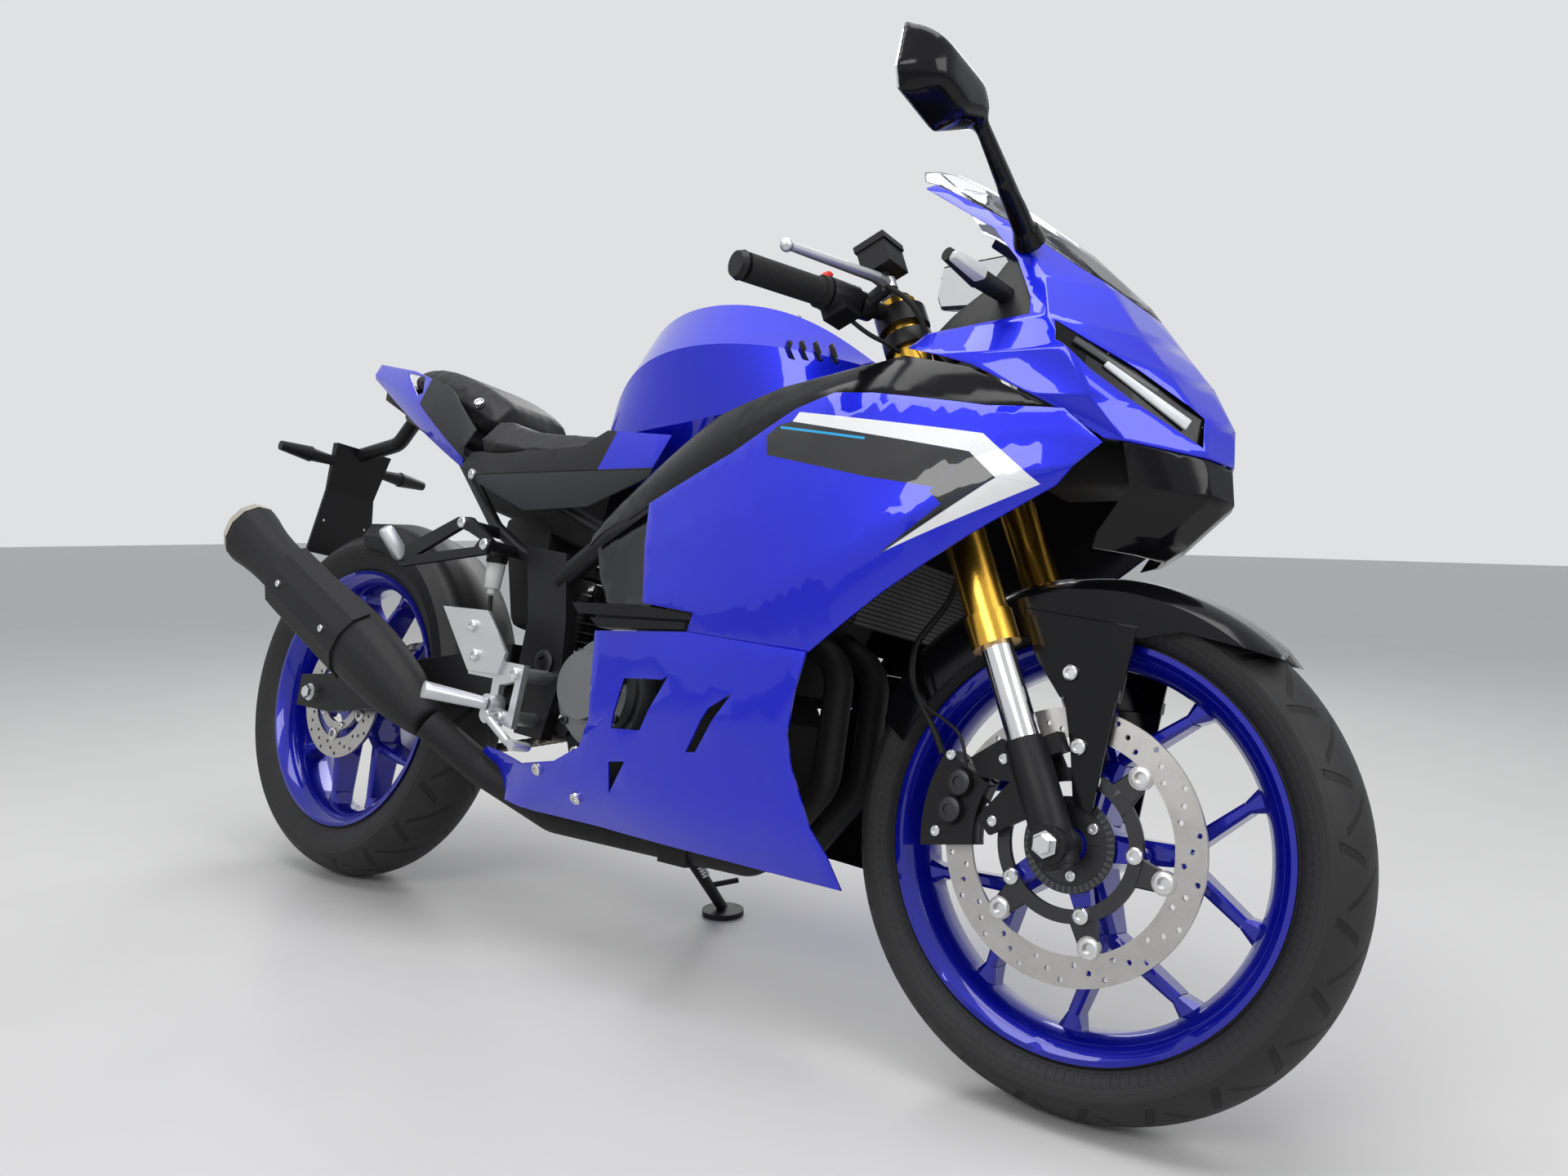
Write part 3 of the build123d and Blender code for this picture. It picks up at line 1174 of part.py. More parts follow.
rest = joined(
    side_plate(HEEL_OUTLINE, -199, -193),
    side_plate(STEP_OUTLINE, -193, -183) - side_plate([(-92, 384), (-124, 376), (-124, 344), (-96, 340)], -200, -180),
    rod((-123, -188, 348), (-123, -212, 348), 14),
    cone((-123, -212, 348), (-160, -292, 356), 9, 12),
    rod((-94, -183, 395), (-94, -130, 395), 10),
    rod((-112, -183, 332), (-112, -130, 332), 10),
    rod((-123, -193, 336), (-123, -212, 330), 10),
    pipe([(-123, -206, 330), (-60, -214, 300), (0, -230, 300), (0, -262, 300)], 6, 12),
)
nodes["footrests"] = Compound([main(rest - frame), main(left_of(rest) - frame)])
PILLION_STEP = [(-300, 622), (-270, 622), (-212, 588), (-220, 566), (-425, 540), (-445, 552), (-440, 566)]
PILLION_WINDOW = [(-288, 606), (-240, 588), (-250, 576), (-390, 560)]
pillion_rest = joined(
    side_plate(PILLION_STEP, -180, -172) - side_plate(PILLION_WINDOW, -190, -160),
    rod((-285, -172, 611), (-285, -100, 611), 9),
    rod((-226, -172, 580), (-226, -104, 580), 9),
    rod((-432, -176, 556), (-440, -204, 590), 10),
)
nodes["pillion_footrests"] = both(main(pillion_rest - frame))
nodes["frame"] = main(frame)

# Park the bike: lean it onto its stand and put the origin under the middle of its box
leaned = {name: Rot(-LEAN_DEG, 0, 0) * shape for name, shape in nodes.items()}
limits = [shape.bounding_box() for shape in leaned.values()]
MIDDLE_X = (min(b.min.X for b in limits) + max(b.max.X for b in limits)) / 2
MIDDLE_Y = (min(b.min.Y for b in limits) + max(b.max.Y for b in limits)) / 2
FLOOR = min(b.min.Z for b in limits)
os.makedirs("parts", exist_ok=True)
for name, shape in leaned.items():
    export_step(Pos(-MIDDLE_X, -MIDDLE_Y, -FLOOR) * shape, f"parts/{name}.step")
print(f"origin at bike x {MIDDLE_X:.3f}, leaned y {MIDDLE_Y:.3f}, floor {FLOOR:.3f}")
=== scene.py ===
# %% [markdown]
# # A sport bike on its side stand
#
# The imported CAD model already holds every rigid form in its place: frame, wheels, fairing, tank.
# This lesson dresses it. It adds the paint and the other finishes, the padded seats, and the small
# parts that a solid model leaves out, such as tread, chain links, hoses and screws.

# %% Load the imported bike
import math

import bpy
from mathutils import Matrix, Vector


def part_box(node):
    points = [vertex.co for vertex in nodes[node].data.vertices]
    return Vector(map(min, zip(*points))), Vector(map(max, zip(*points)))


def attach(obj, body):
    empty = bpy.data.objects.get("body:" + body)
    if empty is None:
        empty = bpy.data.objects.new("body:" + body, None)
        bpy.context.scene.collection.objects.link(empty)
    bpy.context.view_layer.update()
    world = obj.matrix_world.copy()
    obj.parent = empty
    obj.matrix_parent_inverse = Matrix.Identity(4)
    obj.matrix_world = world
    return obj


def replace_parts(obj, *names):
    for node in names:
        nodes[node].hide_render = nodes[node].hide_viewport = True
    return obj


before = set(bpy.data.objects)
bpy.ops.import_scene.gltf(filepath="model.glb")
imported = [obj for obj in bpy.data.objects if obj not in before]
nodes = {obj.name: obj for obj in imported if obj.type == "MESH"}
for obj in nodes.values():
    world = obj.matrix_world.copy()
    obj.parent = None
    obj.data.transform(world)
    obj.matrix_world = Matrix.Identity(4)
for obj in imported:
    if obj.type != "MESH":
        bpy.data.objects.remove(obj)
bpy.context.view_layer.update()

# %% [markdown]
# ## Working upright
#
# The bike leans to its left on the stand, and leaned things are awkward to model. Every new piece is
# therefore drawn on an upright bike, in millimetres, with x forward, y to the rider's left and z up.
# One matrix, found from the known place of the front axle, then parks it.

# %% The parking matrix
LEAN = math.radians(12.5)
FRONT_AXLE = Vector((0.69, 0.0, 0.29458))
REAR_AXLE = Vector((-0.69, 0.0, 0.31601))
MM = 0.001
lean = Matrix.Rotation(-LEAN, 4, "X")
axle_low, axle_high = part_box("front_axle")
PARK = Matrix.Translation((axle_low + axle_high) / 2 - lean @ FRONT_AXLE) @ lean
UPRIGHT = PARK.inverted()


def spot(x, y, z):
    """A point of the upright bike, in millimetres, where it is on the parked bike."""
    return PARK @ (Vector((x, y, z)) * MM)


print("park shift", [round(v * 1000, 2) for v in PARK.to_translation()])

# %% [markdown]
# ## Camera
#
# The camera was fitted to the picture from the wheels and the tank: it stands to the right and ahead
# of the bike, a little below tank height, with a wide lens. It is set as a matrix of the three
# directions right, up and back.

# %% Set the camera
CAMERA_AT = (1201.3, -1186.9, 655.2)
YAW, PITCH, ROLL = 37.18, -3.58, -0.61
turn = (
    Matrix.Rotation(math.radians(YAW), 3, "Z")
    @ Matrix.Rotation(math.radians(PITCH), 3, "X")
    @ Matrix.Rotation(math.radians(ROLL), 3, "Y")
)
right, forward, up = turn.col
eye = PARK.to_translation() + Vector(CAMERA_AT) * MM
bpy.ops.object.camera_add(location=eye)
camera = bpy.context.object
camera.matrix_world = Matrix.Translation(eye) @ Matrix((right, up, -forward)).transposed().to_4x4()
camera.data.sensor_width = 36.0
camera.data.lens = 27.03
bpy.context.scene.camera = camera
print("camera at", [round(v, 3) for v in eye])

# %% [markdown]
# ## Writing shaders as sums
#
# A finish is a small piece of maths over the surface. A socket wrapped in `Value` can be added,
# multiplied and compared like a number, and each step becomes a Math node. Every other node comes
# from one method, `node`, which sets the node's own settings first and then its sockets.


# %% The shader tools
HALF_EDGE = 0.0004
finishes = {}


class Value:
    """A shader socket that takes part in sums."""

    def __init__(self, finish, socket):
        self.finish = finish
        self.socket = socket

    def math(self, operation, *others):
        return self.finish.node("Math", {"operation": operation}, dict(enumerate((self, *others))))

    def __add__(self, other):
        return self.math("ADD", other)

    __radd__ = __add__

    def __sub__(self, other):
        return self.math("SUBTRACT", other)

    def __rsub__(self, other):
        return self.finish.node("Math", {"operation": "SUBTRACT"}, {0: other, 1: self})

    def __mul__(self, other):
        return self.math("MULTIPLY", other)

    __rmul__ = __mul__

    def __gt__(self, other):
        return self.math("GREATER_THAN", other)

    def over(self, start, end):
        """0 at start, 1 at end, and smooth between."""
        return self.finish.node(
            "MapRange", {"interpolation_type": "SMOOTHSTEP"}, {0: self, 1: start, 2: end, 3: 0.0, 4: 1.0}
        )

    def edge(self):
        """0 below zero and 1 above it, with an edge less than a millimetre wide."""
        return self.over(-HALF_EDGE, HALF_EDGE)


class Finish:
    """One material with its node tree, kept in `finishes` under its name."""

    def __init__(self, name, **constants):
        self.material = bpy.data.materials.new(name)
        self.material.use_nodes = True
        self.tree = self.material.node_tree
        self.shader = self.tree.nodes["Principled BSDF"]
        finishes[name] = self
        for socket, value in constants.items():
            self.shader.inputs[socket.replace("_", " ")].default_value = value

    def node(self, kind, settings=None, sockets=None, output=0):
        made = self.tree.nodes.new("ShaderNode" + kind)
        for key, value in (settings or {}).items():
            setattr(made, key, value)
        for key, value in (sockets or {}).items():
            if isinstance(value, Value):
                self.tree.links.new(value.socket, made.inputs[key])
            else:
                made.inputs[key].default_value = value
        return Value(self, made.outputs[output]) if len(made.outputs) else None

    def feed(self, socket, value):
        self.tree.links.new(value.socket, self.shader.inputs[socket])

    def upright(self):
        """The surface point on the upright bike, in metres."""
        point = self.node("TexCoord", output="Object")
        back = UPRIGHT.to_translation()
        return self.node("Mapping", None, {0: point, 1: back, 2: (LEAN, 0.0, 0.0)})

    def axes(self):
        """x, y and z of the surface point on the upright bike."""
        split = self.node("SeparateXYZ", None, {0: self.upright()}).socket.node
        return [Value(self, split.outputs[i]) for i in range(3)]

    def facing(self, centre, weights):
        """Above zero on faces that look away from a centre, below zero on faces that look towards it."""
        normal = self.node("TexCoord", output="Normal")
        normal = self.node("Mapping", {"vector_type": "VECTOR"}, {0: normal, 2: (LEAN, 0.0, 0.0)})
        out = self.node("VectorMath", {"operation": "SUBTRACT"}, {0: self.upright(), 1: centre})
        out = self.node("VectorMath", {"operation": "MULTIPLY"}, {0: out, 1: weights})
        return self.node("VectorMath", {"operation": "DOT_PRODUCT"}, {0: out, 1: normal}, output=1)

    def noise(self, scale, detail=3.0):
        point = self.node("TexCoord", output="Object")
        sockets = {"Vector": point, "Scale": scale, "Detail": detail, "Roughness": 0.55}
        return self.node("TexNoise", None, sockets)

    def bump(self, height, distance):
        sockets = {"Height": height, "Distance": distance, "Strength": 1.0}
        self.feed("Normal", self.node("Bump", None, sockets))

    def tint(self, mask, below, above):
        """Colour below where the mask is 0 and above where it is 1; either may be a colour socket."""
        return self.node("Mix", {"data_type": "RGBA"}, {0: mask, 6: below, 7: above}, output=2)

    def mottle(self, scale, below, above):
        """A cloudy base colour; the cloud is handed back for other uses."""
        cloud = self.noise(scale)
        self.feed("Base Color", self.tint(cloud, below, above))
        return cloud


def rgb(red, green, blue):
    return (red, green, blue, 1.0)


def scaled(colour, factor, more=0.0):
    """A colour made brighter or darker."""
    return rgb(*(min(1.0, part * factor + more) for part in colour[:3]))


print("shader tools ready")

# %% [markdown]
# ## Finishes
#
# Paint is a metallic base with fine flakes under a clear coat. Moulded plastic has a fine grain and
# a broad, dull shine. Rubber is darker and duller still. Cast and machined metal differ in the scale
# of their texture. Each finish varies a little in roughness, because no real surface is even.


# %% Paint, plastic, rubber and metal
SHEEN = 0.5
BLUE = rgb(0.001, 0.008, 0.6)
GREY = rgb(0.028, 0.029, 0.033)
BLACK = rgb(0.003, 0.003, 0.004)
SEAT_BLACK = rgb(0.014, 0.014, 0.015)
MIDDLE = (0.0, 0.0, 0.0)
ACROSS = (0.0, 1.0, 0.0)


def paint(name, colour, flake=0.35):
    coat = {"Coat_Weight": 1.0, "Coat_Roughness": 0.03, "Coat_IOR": 1.5}
    finish = Finish(name, Metallic=SHEEN, Specular_IOR_Level=0.2, **coat)
    speck = finish.noise(2600.0, 1.0)
    cloud = finish.noise(6.0)
    finish.base = finish.tint(speck.over(0.45, 0.75) * flake, colour, scaled(colour, 1.5))
    finish.feed("Base Color", finish.base)
    finish.feed("Roughness", 0.34 + 0.08 * cloud)
    return finish


def plastic(name, colour, rough, grain=0.00012, scale=900.0):
    finish = Finish(name, Specular_IOR_Level=0.25)
    fine = finish.noise(scale, 2.0)
    broad = finish.mottle(9.0, colour, scaled(colour, 1.25, 0.001))
    finish.feed("Roughness", (rough - 0.06) + 0.12 * broad)
    finish.bump(fine, grain)
    return finish


def metal(name, colour, rough, grain=0.00008, scale=500.0):
    finish = Finish(name, Metallic=1.0)
    fine = finish.noise(scale, 3.0)
    broad = finish.mottle(14.0, scaled(colour, 0.86), colour)
    finish.feed("Roughness", (rough - 0.07) + 0.14 * broad)
    finish.bump(fine, grain)


def black_inside(finish, centre, weights, decal=None):
    """Paint only the outside of a moulded panel; its inside stays bare and black."""
    bare = finish.facing(centre, weights).over(-0.004, -0.012)
    sheen = SHEEN * (1 - bare)
    finish.feed("Base Color", finish.tint(bare, finish.base, BLACK))
    finish.feed("Metallic", sheen * (1 - decal) if decal else sheen)
    finish.feed("Coat Weight", 1 - bare)


PLASTICS = (
    ("gloss_black", BLACK, 0.12, 0.00002),
    ("satin_black", rgb(0.007, 0.007, 0.008), 0.42),
    ("matte_black", rgb(0.01, 0.01, 0.011), 0.58, 0.0002, 700.0),
    ("lamp_black", rgb(0.006, 0.006, 0.007), 0.2, 0.00003),
    ("seat_cover", SEAT_BLACK, 0.5, 0.0004, 240.0),
    ("red_lens", rgb(0.22, 0.006, 0.006), 0.12, 0.00002),
    ("red_switch", rgb(0.55, 0.02, 0.015), 0.35),
    ("clear_lens", rgb(0.55, 0.56, 0.57), 0.1, 0.00002),
    ("lamp_grey", rgb(0.085, 0.088, 0.092), 0.1, 0.00002),
    ("milk_plastic", rgb(0.62, 0.63, 0.62), 0.4),
    ("hose_rubber", rgb(0.01, 0.01, 0.01), 0.5, 0.0001, 600.0),
)
METALS = (
    ("gold", rgb(0.8, 0.46, 0.07), 0.24),
    ("chrome", rgb(0.8, 0.8, 0.82), 0.12, 0.00001),
    ("steel", rgb(0.6, 0.6, 0.61), 0.3),
    ("zinc", rgb(0.72, 0.72, 0.73), 0.28),
    ("aluminium", rgb(0.66, 0.67, 0.69), 0.42, 0.0001, 380.0),
    ("cast_grey", rgb(0.22, 0.225, 0.235), 0.5, 0.0002, 300.0),
    ("dark_metal", rgb(0.06, 0.06, 0.065), 0.42, 0.0001, 300.0),
    ("champagne", rgb(0.66, 0.6, 0.52), 0.34),
    ("chain_steel", rgb(0.34, 0.31, 0.26), 0.36),
    ("mirror_silver", rgb(0.86, 0.87, 0.88), 0.08, 0.000001),
)
paint("blue_paint", BLUE)
paint("wheel_blue", rgb(0.001, 0.004, 0.32), 0.2)
black_inside(paint("nose_paint", BLUE), (0.54, 0.0, 0.84), (1.0, 1.0, 1.0))
black_inside(paint("cowl_paint", BLUE), MIDDLE, ACROSS)
for look in PLASTICS:
    plastic(*look)
for look in METALS:
    metal(*look)
print("plain finishes", len(finishes))

# %% [markdown]
# ## Finishes that follow the bike
#
# Some finishes change over a part: the stripes on the fairing, the grey half of the tail, the seam of the
# side cover. Their masks are drawn in the side view of the upright bike. A stripe is a polygon, given in
# millimetres, and a polygon is the product of one smooth step across each of its edges.

# %% Stripes on the fairing, the two-colour tail and the side cover
fairing_paint = paint("fairing_paint", BLUE)
side_x, _, side_z = fairing_paint.axes()


def polygon_mask(x, z, corners):
    """1 inside a convex side-view polygon given in millimetres, clockwise or not."""
    area = sum(a[0] * b[1] - b[0] * a[1] for a, b in zip(corners, corners[1:] + corners[:1]))
    mask = None
    for (x0, z0), (x1, z1) in zip(corners, corners[1:] + corners[:1]):
        long = math.hypot(x1 - x0, z1 - z0) * math.copysign(1.0, area)
        across_x, across_z = (z0 - z1) / long, (x1 - x0) / long
        depth = x * across_x + z * across_z - (across_x * x0 + across_z * z0) * MM
        step = depth.edge()
        mask = step if mask is None else mask * step
    return mask


DECAL_BLACK = (
    [(314, 721), (329, 734), (348, 738), (586, 698), (549, 651), (472, 666), (325, 684)],
    [(586, 698), (618, 670), (564, 638), (549, 651)],
    [(618, 670), (504, 583), (497, 579), (564, 638)],
)
DECAL_CYAN = ([(332, 729.5), (332, 732.5), (455, 715.5), (455, 712.5)],)
DECAL_WHITE = (
    [(348, 738), (355, 750), (596, 720), (586, 698)],
    [(596, 720), (660, 668), (618, 670), (586, 698)],
    [(660, 668), (504, 583), (618, 670)],
)
CYAN = rgb(0.0, 0.36, 0.72)
WHITE = rgb(0.8, 0.81, 0.82)
outer = fairing_paint.facing(MIDDLE, ACROSS).over(0.02, 0.04)
decal = None
for polygons, colour in ((DECAL_BLACK, BLACK), (DECAL_CYAN, CYAN), (DECAL_WHITE, WHITE)):
    for corners in polygons:
        inside = polygon_mask(side_x, side_z, corners) * outer
        fairing_paint.base = fairing_paint.tint(inside, fairing_paint.base, colour)
        decal = decal.math("MAXIMUM", inside) if decal else inside
black_inside(fairing_paint, MIDDLE, ACROSS, decal)

tail_paint = paint("tail_paint", BLUE)
tail_x, _, tail_z = tail_paint.axes()
grey_half = (tail_x + 0.545).edge() * (tail_z + tail_x * 0.66 - 0.4749).edge()
tail_paint.feed("Base Color", tail_paint.tint(grey_half, tail_paint.base, GREY))
tail_paint.feed("Metallic", SHEEN * (1 - grey_half))
tail_paint.feed("Roughness", 0.36 + 0.16 * grey_half)
tail_paint.feed("Coat Weight", 1 - grey_half)

cover = Finish("cover_finish", Specular_IOR_Level=0.25)
cover_x, _, cover_z = cover.axes()
upper = (cover_z - 0.701).edge()
ahead = (cover_x + 0.046 - (cover_z - 0.702) * 0.4).edge()
skirt, tank_side = upper * (1 - ahead), upper * ahead
seam = (cover_z - 0.7005).math("ABSOLUTE").over(0.001, 0.0016)
shade = cover.tint(skirt, cover.tint(tank_side, GREY, BLUE), SEAT_BLACK)
cover.feed("Base Color", cover.tint(seam, BLACK, shade))
cover.feed("Metallic", SHEEN * tank_side)
cover.feed("Coat Weight", tank_side)
cover.feed("Roughness", 0.5 - 0.14 * tank_side + 0.06 * cover.noise(9.0))
cover.bump(seam + 0.1 * cover.noise(700.0, 2.0), 0.0012)
print("striped finishes", len(DECAL_BLACK) + len(DECAL_WHITE) + 1, "polygons")

# %% [markdown]
# ## Turned finishes
#
# A tyre and a disc are turned parts, so their patterns run round the axle. Two numbers describe a
# point: its angle about the axle and its reach from it. The tread is made of slanted grooves that start
# near the middle and sweep back towards the shoulder, and the side wall has fine ribs.


# %% Tyres and brake discs
def round_axle(finish, axle):
    """Angle in turns, reach in metres, and distance from the middle plane."""
    x, y, z = finish.axes()
    forward, rise = x - axle.x, z - axle.z
    turns = rise.math("ARCTAN2", forward) * (0.5 / math.pi)
    reach = (forward * forward + rise * rise).math("SQRT")
    return turns, reach, y


def tyre_finish(name, axle, radius, half_width, pitches):
    finish = Finish(name, Specular_IOR_Level=0.35)
    turns, reach, y = round_axle(finish, axle)
    side = y.math("ABSOLUTE") * (1.0 / half_width)
    tread = (reach - (radius - 0.42 * half_width)).over(-0.001, 0.001)
    handed = (y > 0.0) * 0.5
    sweep = turns * pitches + side * 0.9 + handed
    long_groove = ((sweep.math("FRACT") - 0.5).math("ABSOLUTE")).over(0.045, 0.075)
    long_groove = 1 - (1 - long_groove) * side.over(0.12, 0.16) * (1 - side.over(0.74, 0.8))
    short = (turns * pitches - side * 0.5 + handed + 0.32).math("FRACT")
    short_groove = ((short - 0.5).math("ABSOLUTE")).over(0.05, 0.08)
    short_groove = 1 - (1 - short_groove) * side.over(0.46, 0.5) * (1 - side.over(0.9, 0.95))
    height = 1 - tread * (1 - long_groove * short_groove)
    ribs = (turns * 150.0).math("FRACT").over(0.2, 0.5) * (reach - (radius - 0.058)).over(0.0, 0.001)
    ribs = ribs * (1 - (reach - (radius - 0.045)).over(0.0, 0.001))
    rings = (reach * 900.0).math("SINE").over(0.6, 0.9) * (1 - tread) * 0.12
    grain = finish.noise(700.0) * 0.06
    # The grooves are painted darker than the tread and the side wall: painted shade in the grooves.
    finish.feed("Base Color", finish.tint(height, rgb(0.004, 0.004, 0.004), rgb(0.017, 0.017, 0.018)))
    finish.feed("Roughness", 0.5 + 0.22 * finish.noise(30.0))
    finish.bump(height + 0.3 * ribs * (1 - tread) + rings + grain, 0.0016)


def disc_finish(name, axle):
    finish = Finish(name, Metallic=1.0)
    _, reach, _ = round_axle(finish, axle)
    lines = (reach * 5200.0).math("SINE")
    cloud = finish.mottle(40.0, rgb(0.4, 0.39, 0.37), rgb(0.52, 0.51, 0.49))
    finish.feed("Roughness", 0.26 + 0.1 * cloud + 0.04 * lines)
    finish.bump(lines, 0.00002)


tyre_finish("front_rubber", FRONT_AXLE, 0.293, 0.055, 24.0)
tyre_finish("rear_rubber", REAR_AXLE, 0.314, 0.07, 20.0)
disc_finish("front_disc_steel", FRONT_AXLE)
disc_finish("rear_disc_steel", REAR_AXLE)

fins = Finish("radiator_fins", Metallic=0.6)
fin_x, fin_y, fin_z = fins.axes()
tubes = (fin_z * 170.0 + fin_x * 40.0).math("FRACT").over(0.25, 0.5)
louvres = (fin_y * 900.0).math("FRACT").over(0.3, 0.6)
# The bands between the tubes are painted darker than the tubes: painted shade in the gaps of the finned core.
fins.feed("Base Color", fins.tint(tubes, rgb(0.012, 0.012, 0.013), rgb(0.085, 0.085, 0.09)))
fins.feed("Roughness", 0.45 + 0.1 * louvres)
fins.bump(tubes + 0.2 * louvres, 0.0012)

ribbed = plastic("grip_rubber", rgb(0.011, 0.011, 0.011), 0.68, 0.0003, 380.0)
_, grip_y, _ = ribbed.axes()
ribbed.bump((grip_y * 190.0).math("FRACT").over(0.2, 0.45), 0.0011)

smoke = Finish("smoke_screen", Roughness=0.03, Transmission_Weight=1.0, IOR=1.2)
smoke.mottle(5.0, rgb(0.2, 0.205, 0.22), rgb(0.25, 0.255, 0.27))

# The light guides get a faint emission: a painted glow that makes the clear guides look bright.
painted_glow = Finish("led_bar", Roughness=0.2, Emission_Strength=1.0)
along = painted_glow.mottle(60.0, rgb(0.5, 0.52, 0.54), rgb(0.72, 0.74, 0.76))
painted_glow.feed("Emission Color", painted_glow.tint(along, rgb(0.1, 0.12, 0.13), rgb(0.15, 0.17, 0.18)))

screen = Finish("dash_glass", Roughness=0.08)
screen.mottle(20.0, rgb(0.012, 0.013, 0.015), rgb(0.03, 0.032, 0.036))
print("finishes", len(finishes))

# %% [markdown]
# ## Dressing the CAD parts
#
# Each CAD part keeps its shape and gets its finish. One list shows what is made of what.

# %% Give the CAD parts their finishes
WORN = {
    "blue_paint": "fuel_tank",
    "nose_paint": "nose_cowl",
    "cowl_paint": "lower_cowls",
    "fairing_paint": "side_fairings",
    "tail_paint": "tail_cowl",
    "cover_finish": "side_covers",
    "wheel_blue": "front_rim rear_rim",
    "gloss_black": "front_fender shoulder_trims mirrors side_ducts nose_duct",
    "satin_black": "frame swingarm triple_clamps handlebars plate_hanger rear_hugger pillion_footrests"
    " side_stand bar_controls front_caliper rear_brake rear_shock dash indicators inner_panels fork_feet",
    "matte_black": "muffler muffler_guard exhaust engine",
    "front_rubber": "front_tyre",
    "rear_rubber": "rear_tyre",
    "grip_rubber": "grips",
    "seat_cover": "rider_seat pillion_seat",
    "gold": "fork_outers",
    "chrome": "fork_tubes",
    "front_disc_steel": "front_disc",
    "rear_disc_steel": "rear_disc",
    "steel": "rear_sprocket stand_spring front_axle rear_axle",
    "aluminium": "footrests cap_bezel levers",
    "cast_grey": "engine_covers",
    "dark_metal": "front_carrier fuel_cap",
    "radiator_fins": "radiator",
    "lamp_black": "headlamps",
    "smoke_screen": "windscreen",
    "mirror_silver": "mirror_glass",
    "champagne": "muffler_cap",
    "chain_steel": "chain",
    "red_lens": "tail_lamp",
}
for finish, names in WORN.items():
    for name in names.split():
        slots = nodes[name].data.materials
        slots.clear()
        slots.append(finishes[finish].material)
print("finishes on", sum(1 for n in nodes.values() if n.data.materials), "nodes")

# %% [markdown]
# ## Soft edges
#
# No moulded or cast edge is knife sharp, and the thin bright line along a rounded edge is what makes a
# panel look real. A Weld modifier closes the loose triangles of a CAD part and a Bevel modifier rounds
# its sharp edges. Each row below gives the width in millimetres and the angle from which an edge is sharp.

# %% Round the edges of the CAD parts
WELD_REACH = 0.00002
SOFT_EDGES = (
    (0.9, 50.0, "side_fairings lower_cowls nose_cowl tail_cowl side_covers shoulder_trims"),
    (0.9, 50.0, "nose_duct side_ducts"),
    (0.8, 50.0, "front_fender rear_hugger inner_panels windscreen plate_hanger"),
    (1.5, 40.0, "footrests pillion_footrests front_caliper rear_brake fork_feet triple_clamps dash"),
    (2.0, 40.0, "swingarm engine_covers bar_controls front_carrier radiator tail_lamp"),
    (1.2, 40.0, "front_rim rear_rim"),
    (2.0, 50.0, "frame"),
)
for width, angle, names in SOFT_EDGES:
    for name in names.split():
        weld = nodes[name].modifiers.new("weld", "WELD")
        weld.merge_threshold = WELD_REACH
        bevel = nodes[name].modifiers.new("soft_edge", "BEVEL")
        bevel.width = width * MM
        bevel.segments = 2
        bevel.limit_method = "ANGLE"
        bevel.angle_limit = math.radians(angle)
print("softened", sum(1 for n in nodes.values() if n.modifiers), "nodes")

# %% [markdown]
# ## Working by hand
#
# The small parts are modelled as by hand: a primitive is added, some of its faces are picked by their
# normal or place, and edit-mode tools shape them. `done` then moves the drawing from the upright bike to
# its place on the parked one, and lets it ride on a moving part of the bike.

# %% The modelling tools
DRAWN = PARK @ Matrix.Scale(MM, 4)
QUARTER = math.radians(90)
SHARP = math.radians(40)
FLAT = 0.9
RIGHT, LEFT = (0, -1, 0), (0, 1, 0)
BOTH = (-1, 1)


def clear():
    """Leave edit mode and select nothing."""
    if bpy.context.mode != "OBJECT":
        bpy.ops.object.mode_set(mode="OBJECT")
    bpy.ops.object.select_all(action="DESELECT")


def pick(*pieces):
    """Select pieces and make the first one active."""
    clear()
    for piece in pieces:
        piece.select_set(True)
    bpy.context.view_layer.objects.active = pieces[0]


def join(pieces):
    """Join pieces into the first of them."""
    pick(*pieces)
    if len(pieces) > 1:
        bpy.ops.object.join()
    return pieces[0]


def select(kind, action):
    """Select all or none of the points, edges or faces."""
    bpy.ops.mesh.select_mode(type=kind)
    bpy.ops.mesh.select_all(action=action)


def edit(piece, test=None):
    """Enter edit mode with the faces selected whose centre and normal pass a test."""
    pick(piece)
    bpy.ops.object.mode_set(mode="EDIT")
    select("FACE", "DESELECT" if test else "SELECT")
    if test:
        bpy.ops.object.mode_set(mode="OBJECT")
        for face in piece.data.polygons:
            face.select = test(face.center, face.normal)
        bpy.ops.object.mode_set(mode="EDIT")


def top(centre, normal):
    return normal.z > FLAT


def bottom(centre, normal):
    return normal.z < -FLAT


def lift(height):
    """Move the picked faces up."""
    bpy.ops.transform.translate(value=(0, 0, height))


def push(height):
    """Extrude the picked faces up, or down where the height is below zero."""
    bpy.ops.mesh.extrude_region_move(TRANSFORM_OT_translate={"value": (0, 0, height)})


def inset(width):
    bpy.ops.mesh.inset(thickness=width)


def cylinder(sides, radius, depth, place=(0, 0, 0)):
    clear()
    bpy.ops.mesh.primitive_cylinder_add(vertices=sides, radius=radius, depth=depth, location=place)
    return bpy.context.object


def cube():
    clear()
    bpy.ops.mesh.primitive_cube_add(size=1)
    return bpy.context.object


def apply(piece, kind, **settings):
    """Add a modifier and apply it."""
    pick(piece)
    modifier = piece.modifiers.new(kind.lower(), kind)
    for key, value in settings.items():
        setattr(modifier, key, value)
    bpy.ops.object.modifier_apply(modifier=modifier.name)


def round_off(piece, width):
    """Round the sharp edges of a piece."""
    apply(piece, "BEVEL", width=width, segments=2, limit_method="ANGLE", angle_limit=SHARP)


def aimed(place, direction):
    """The matrix that sets a drawing at a place, with its z axis along a direction."""
    return Matrix.Translation(place) @ Vector(direction).to_track_quat("Z", "Y").to_matrix().to_4x4()


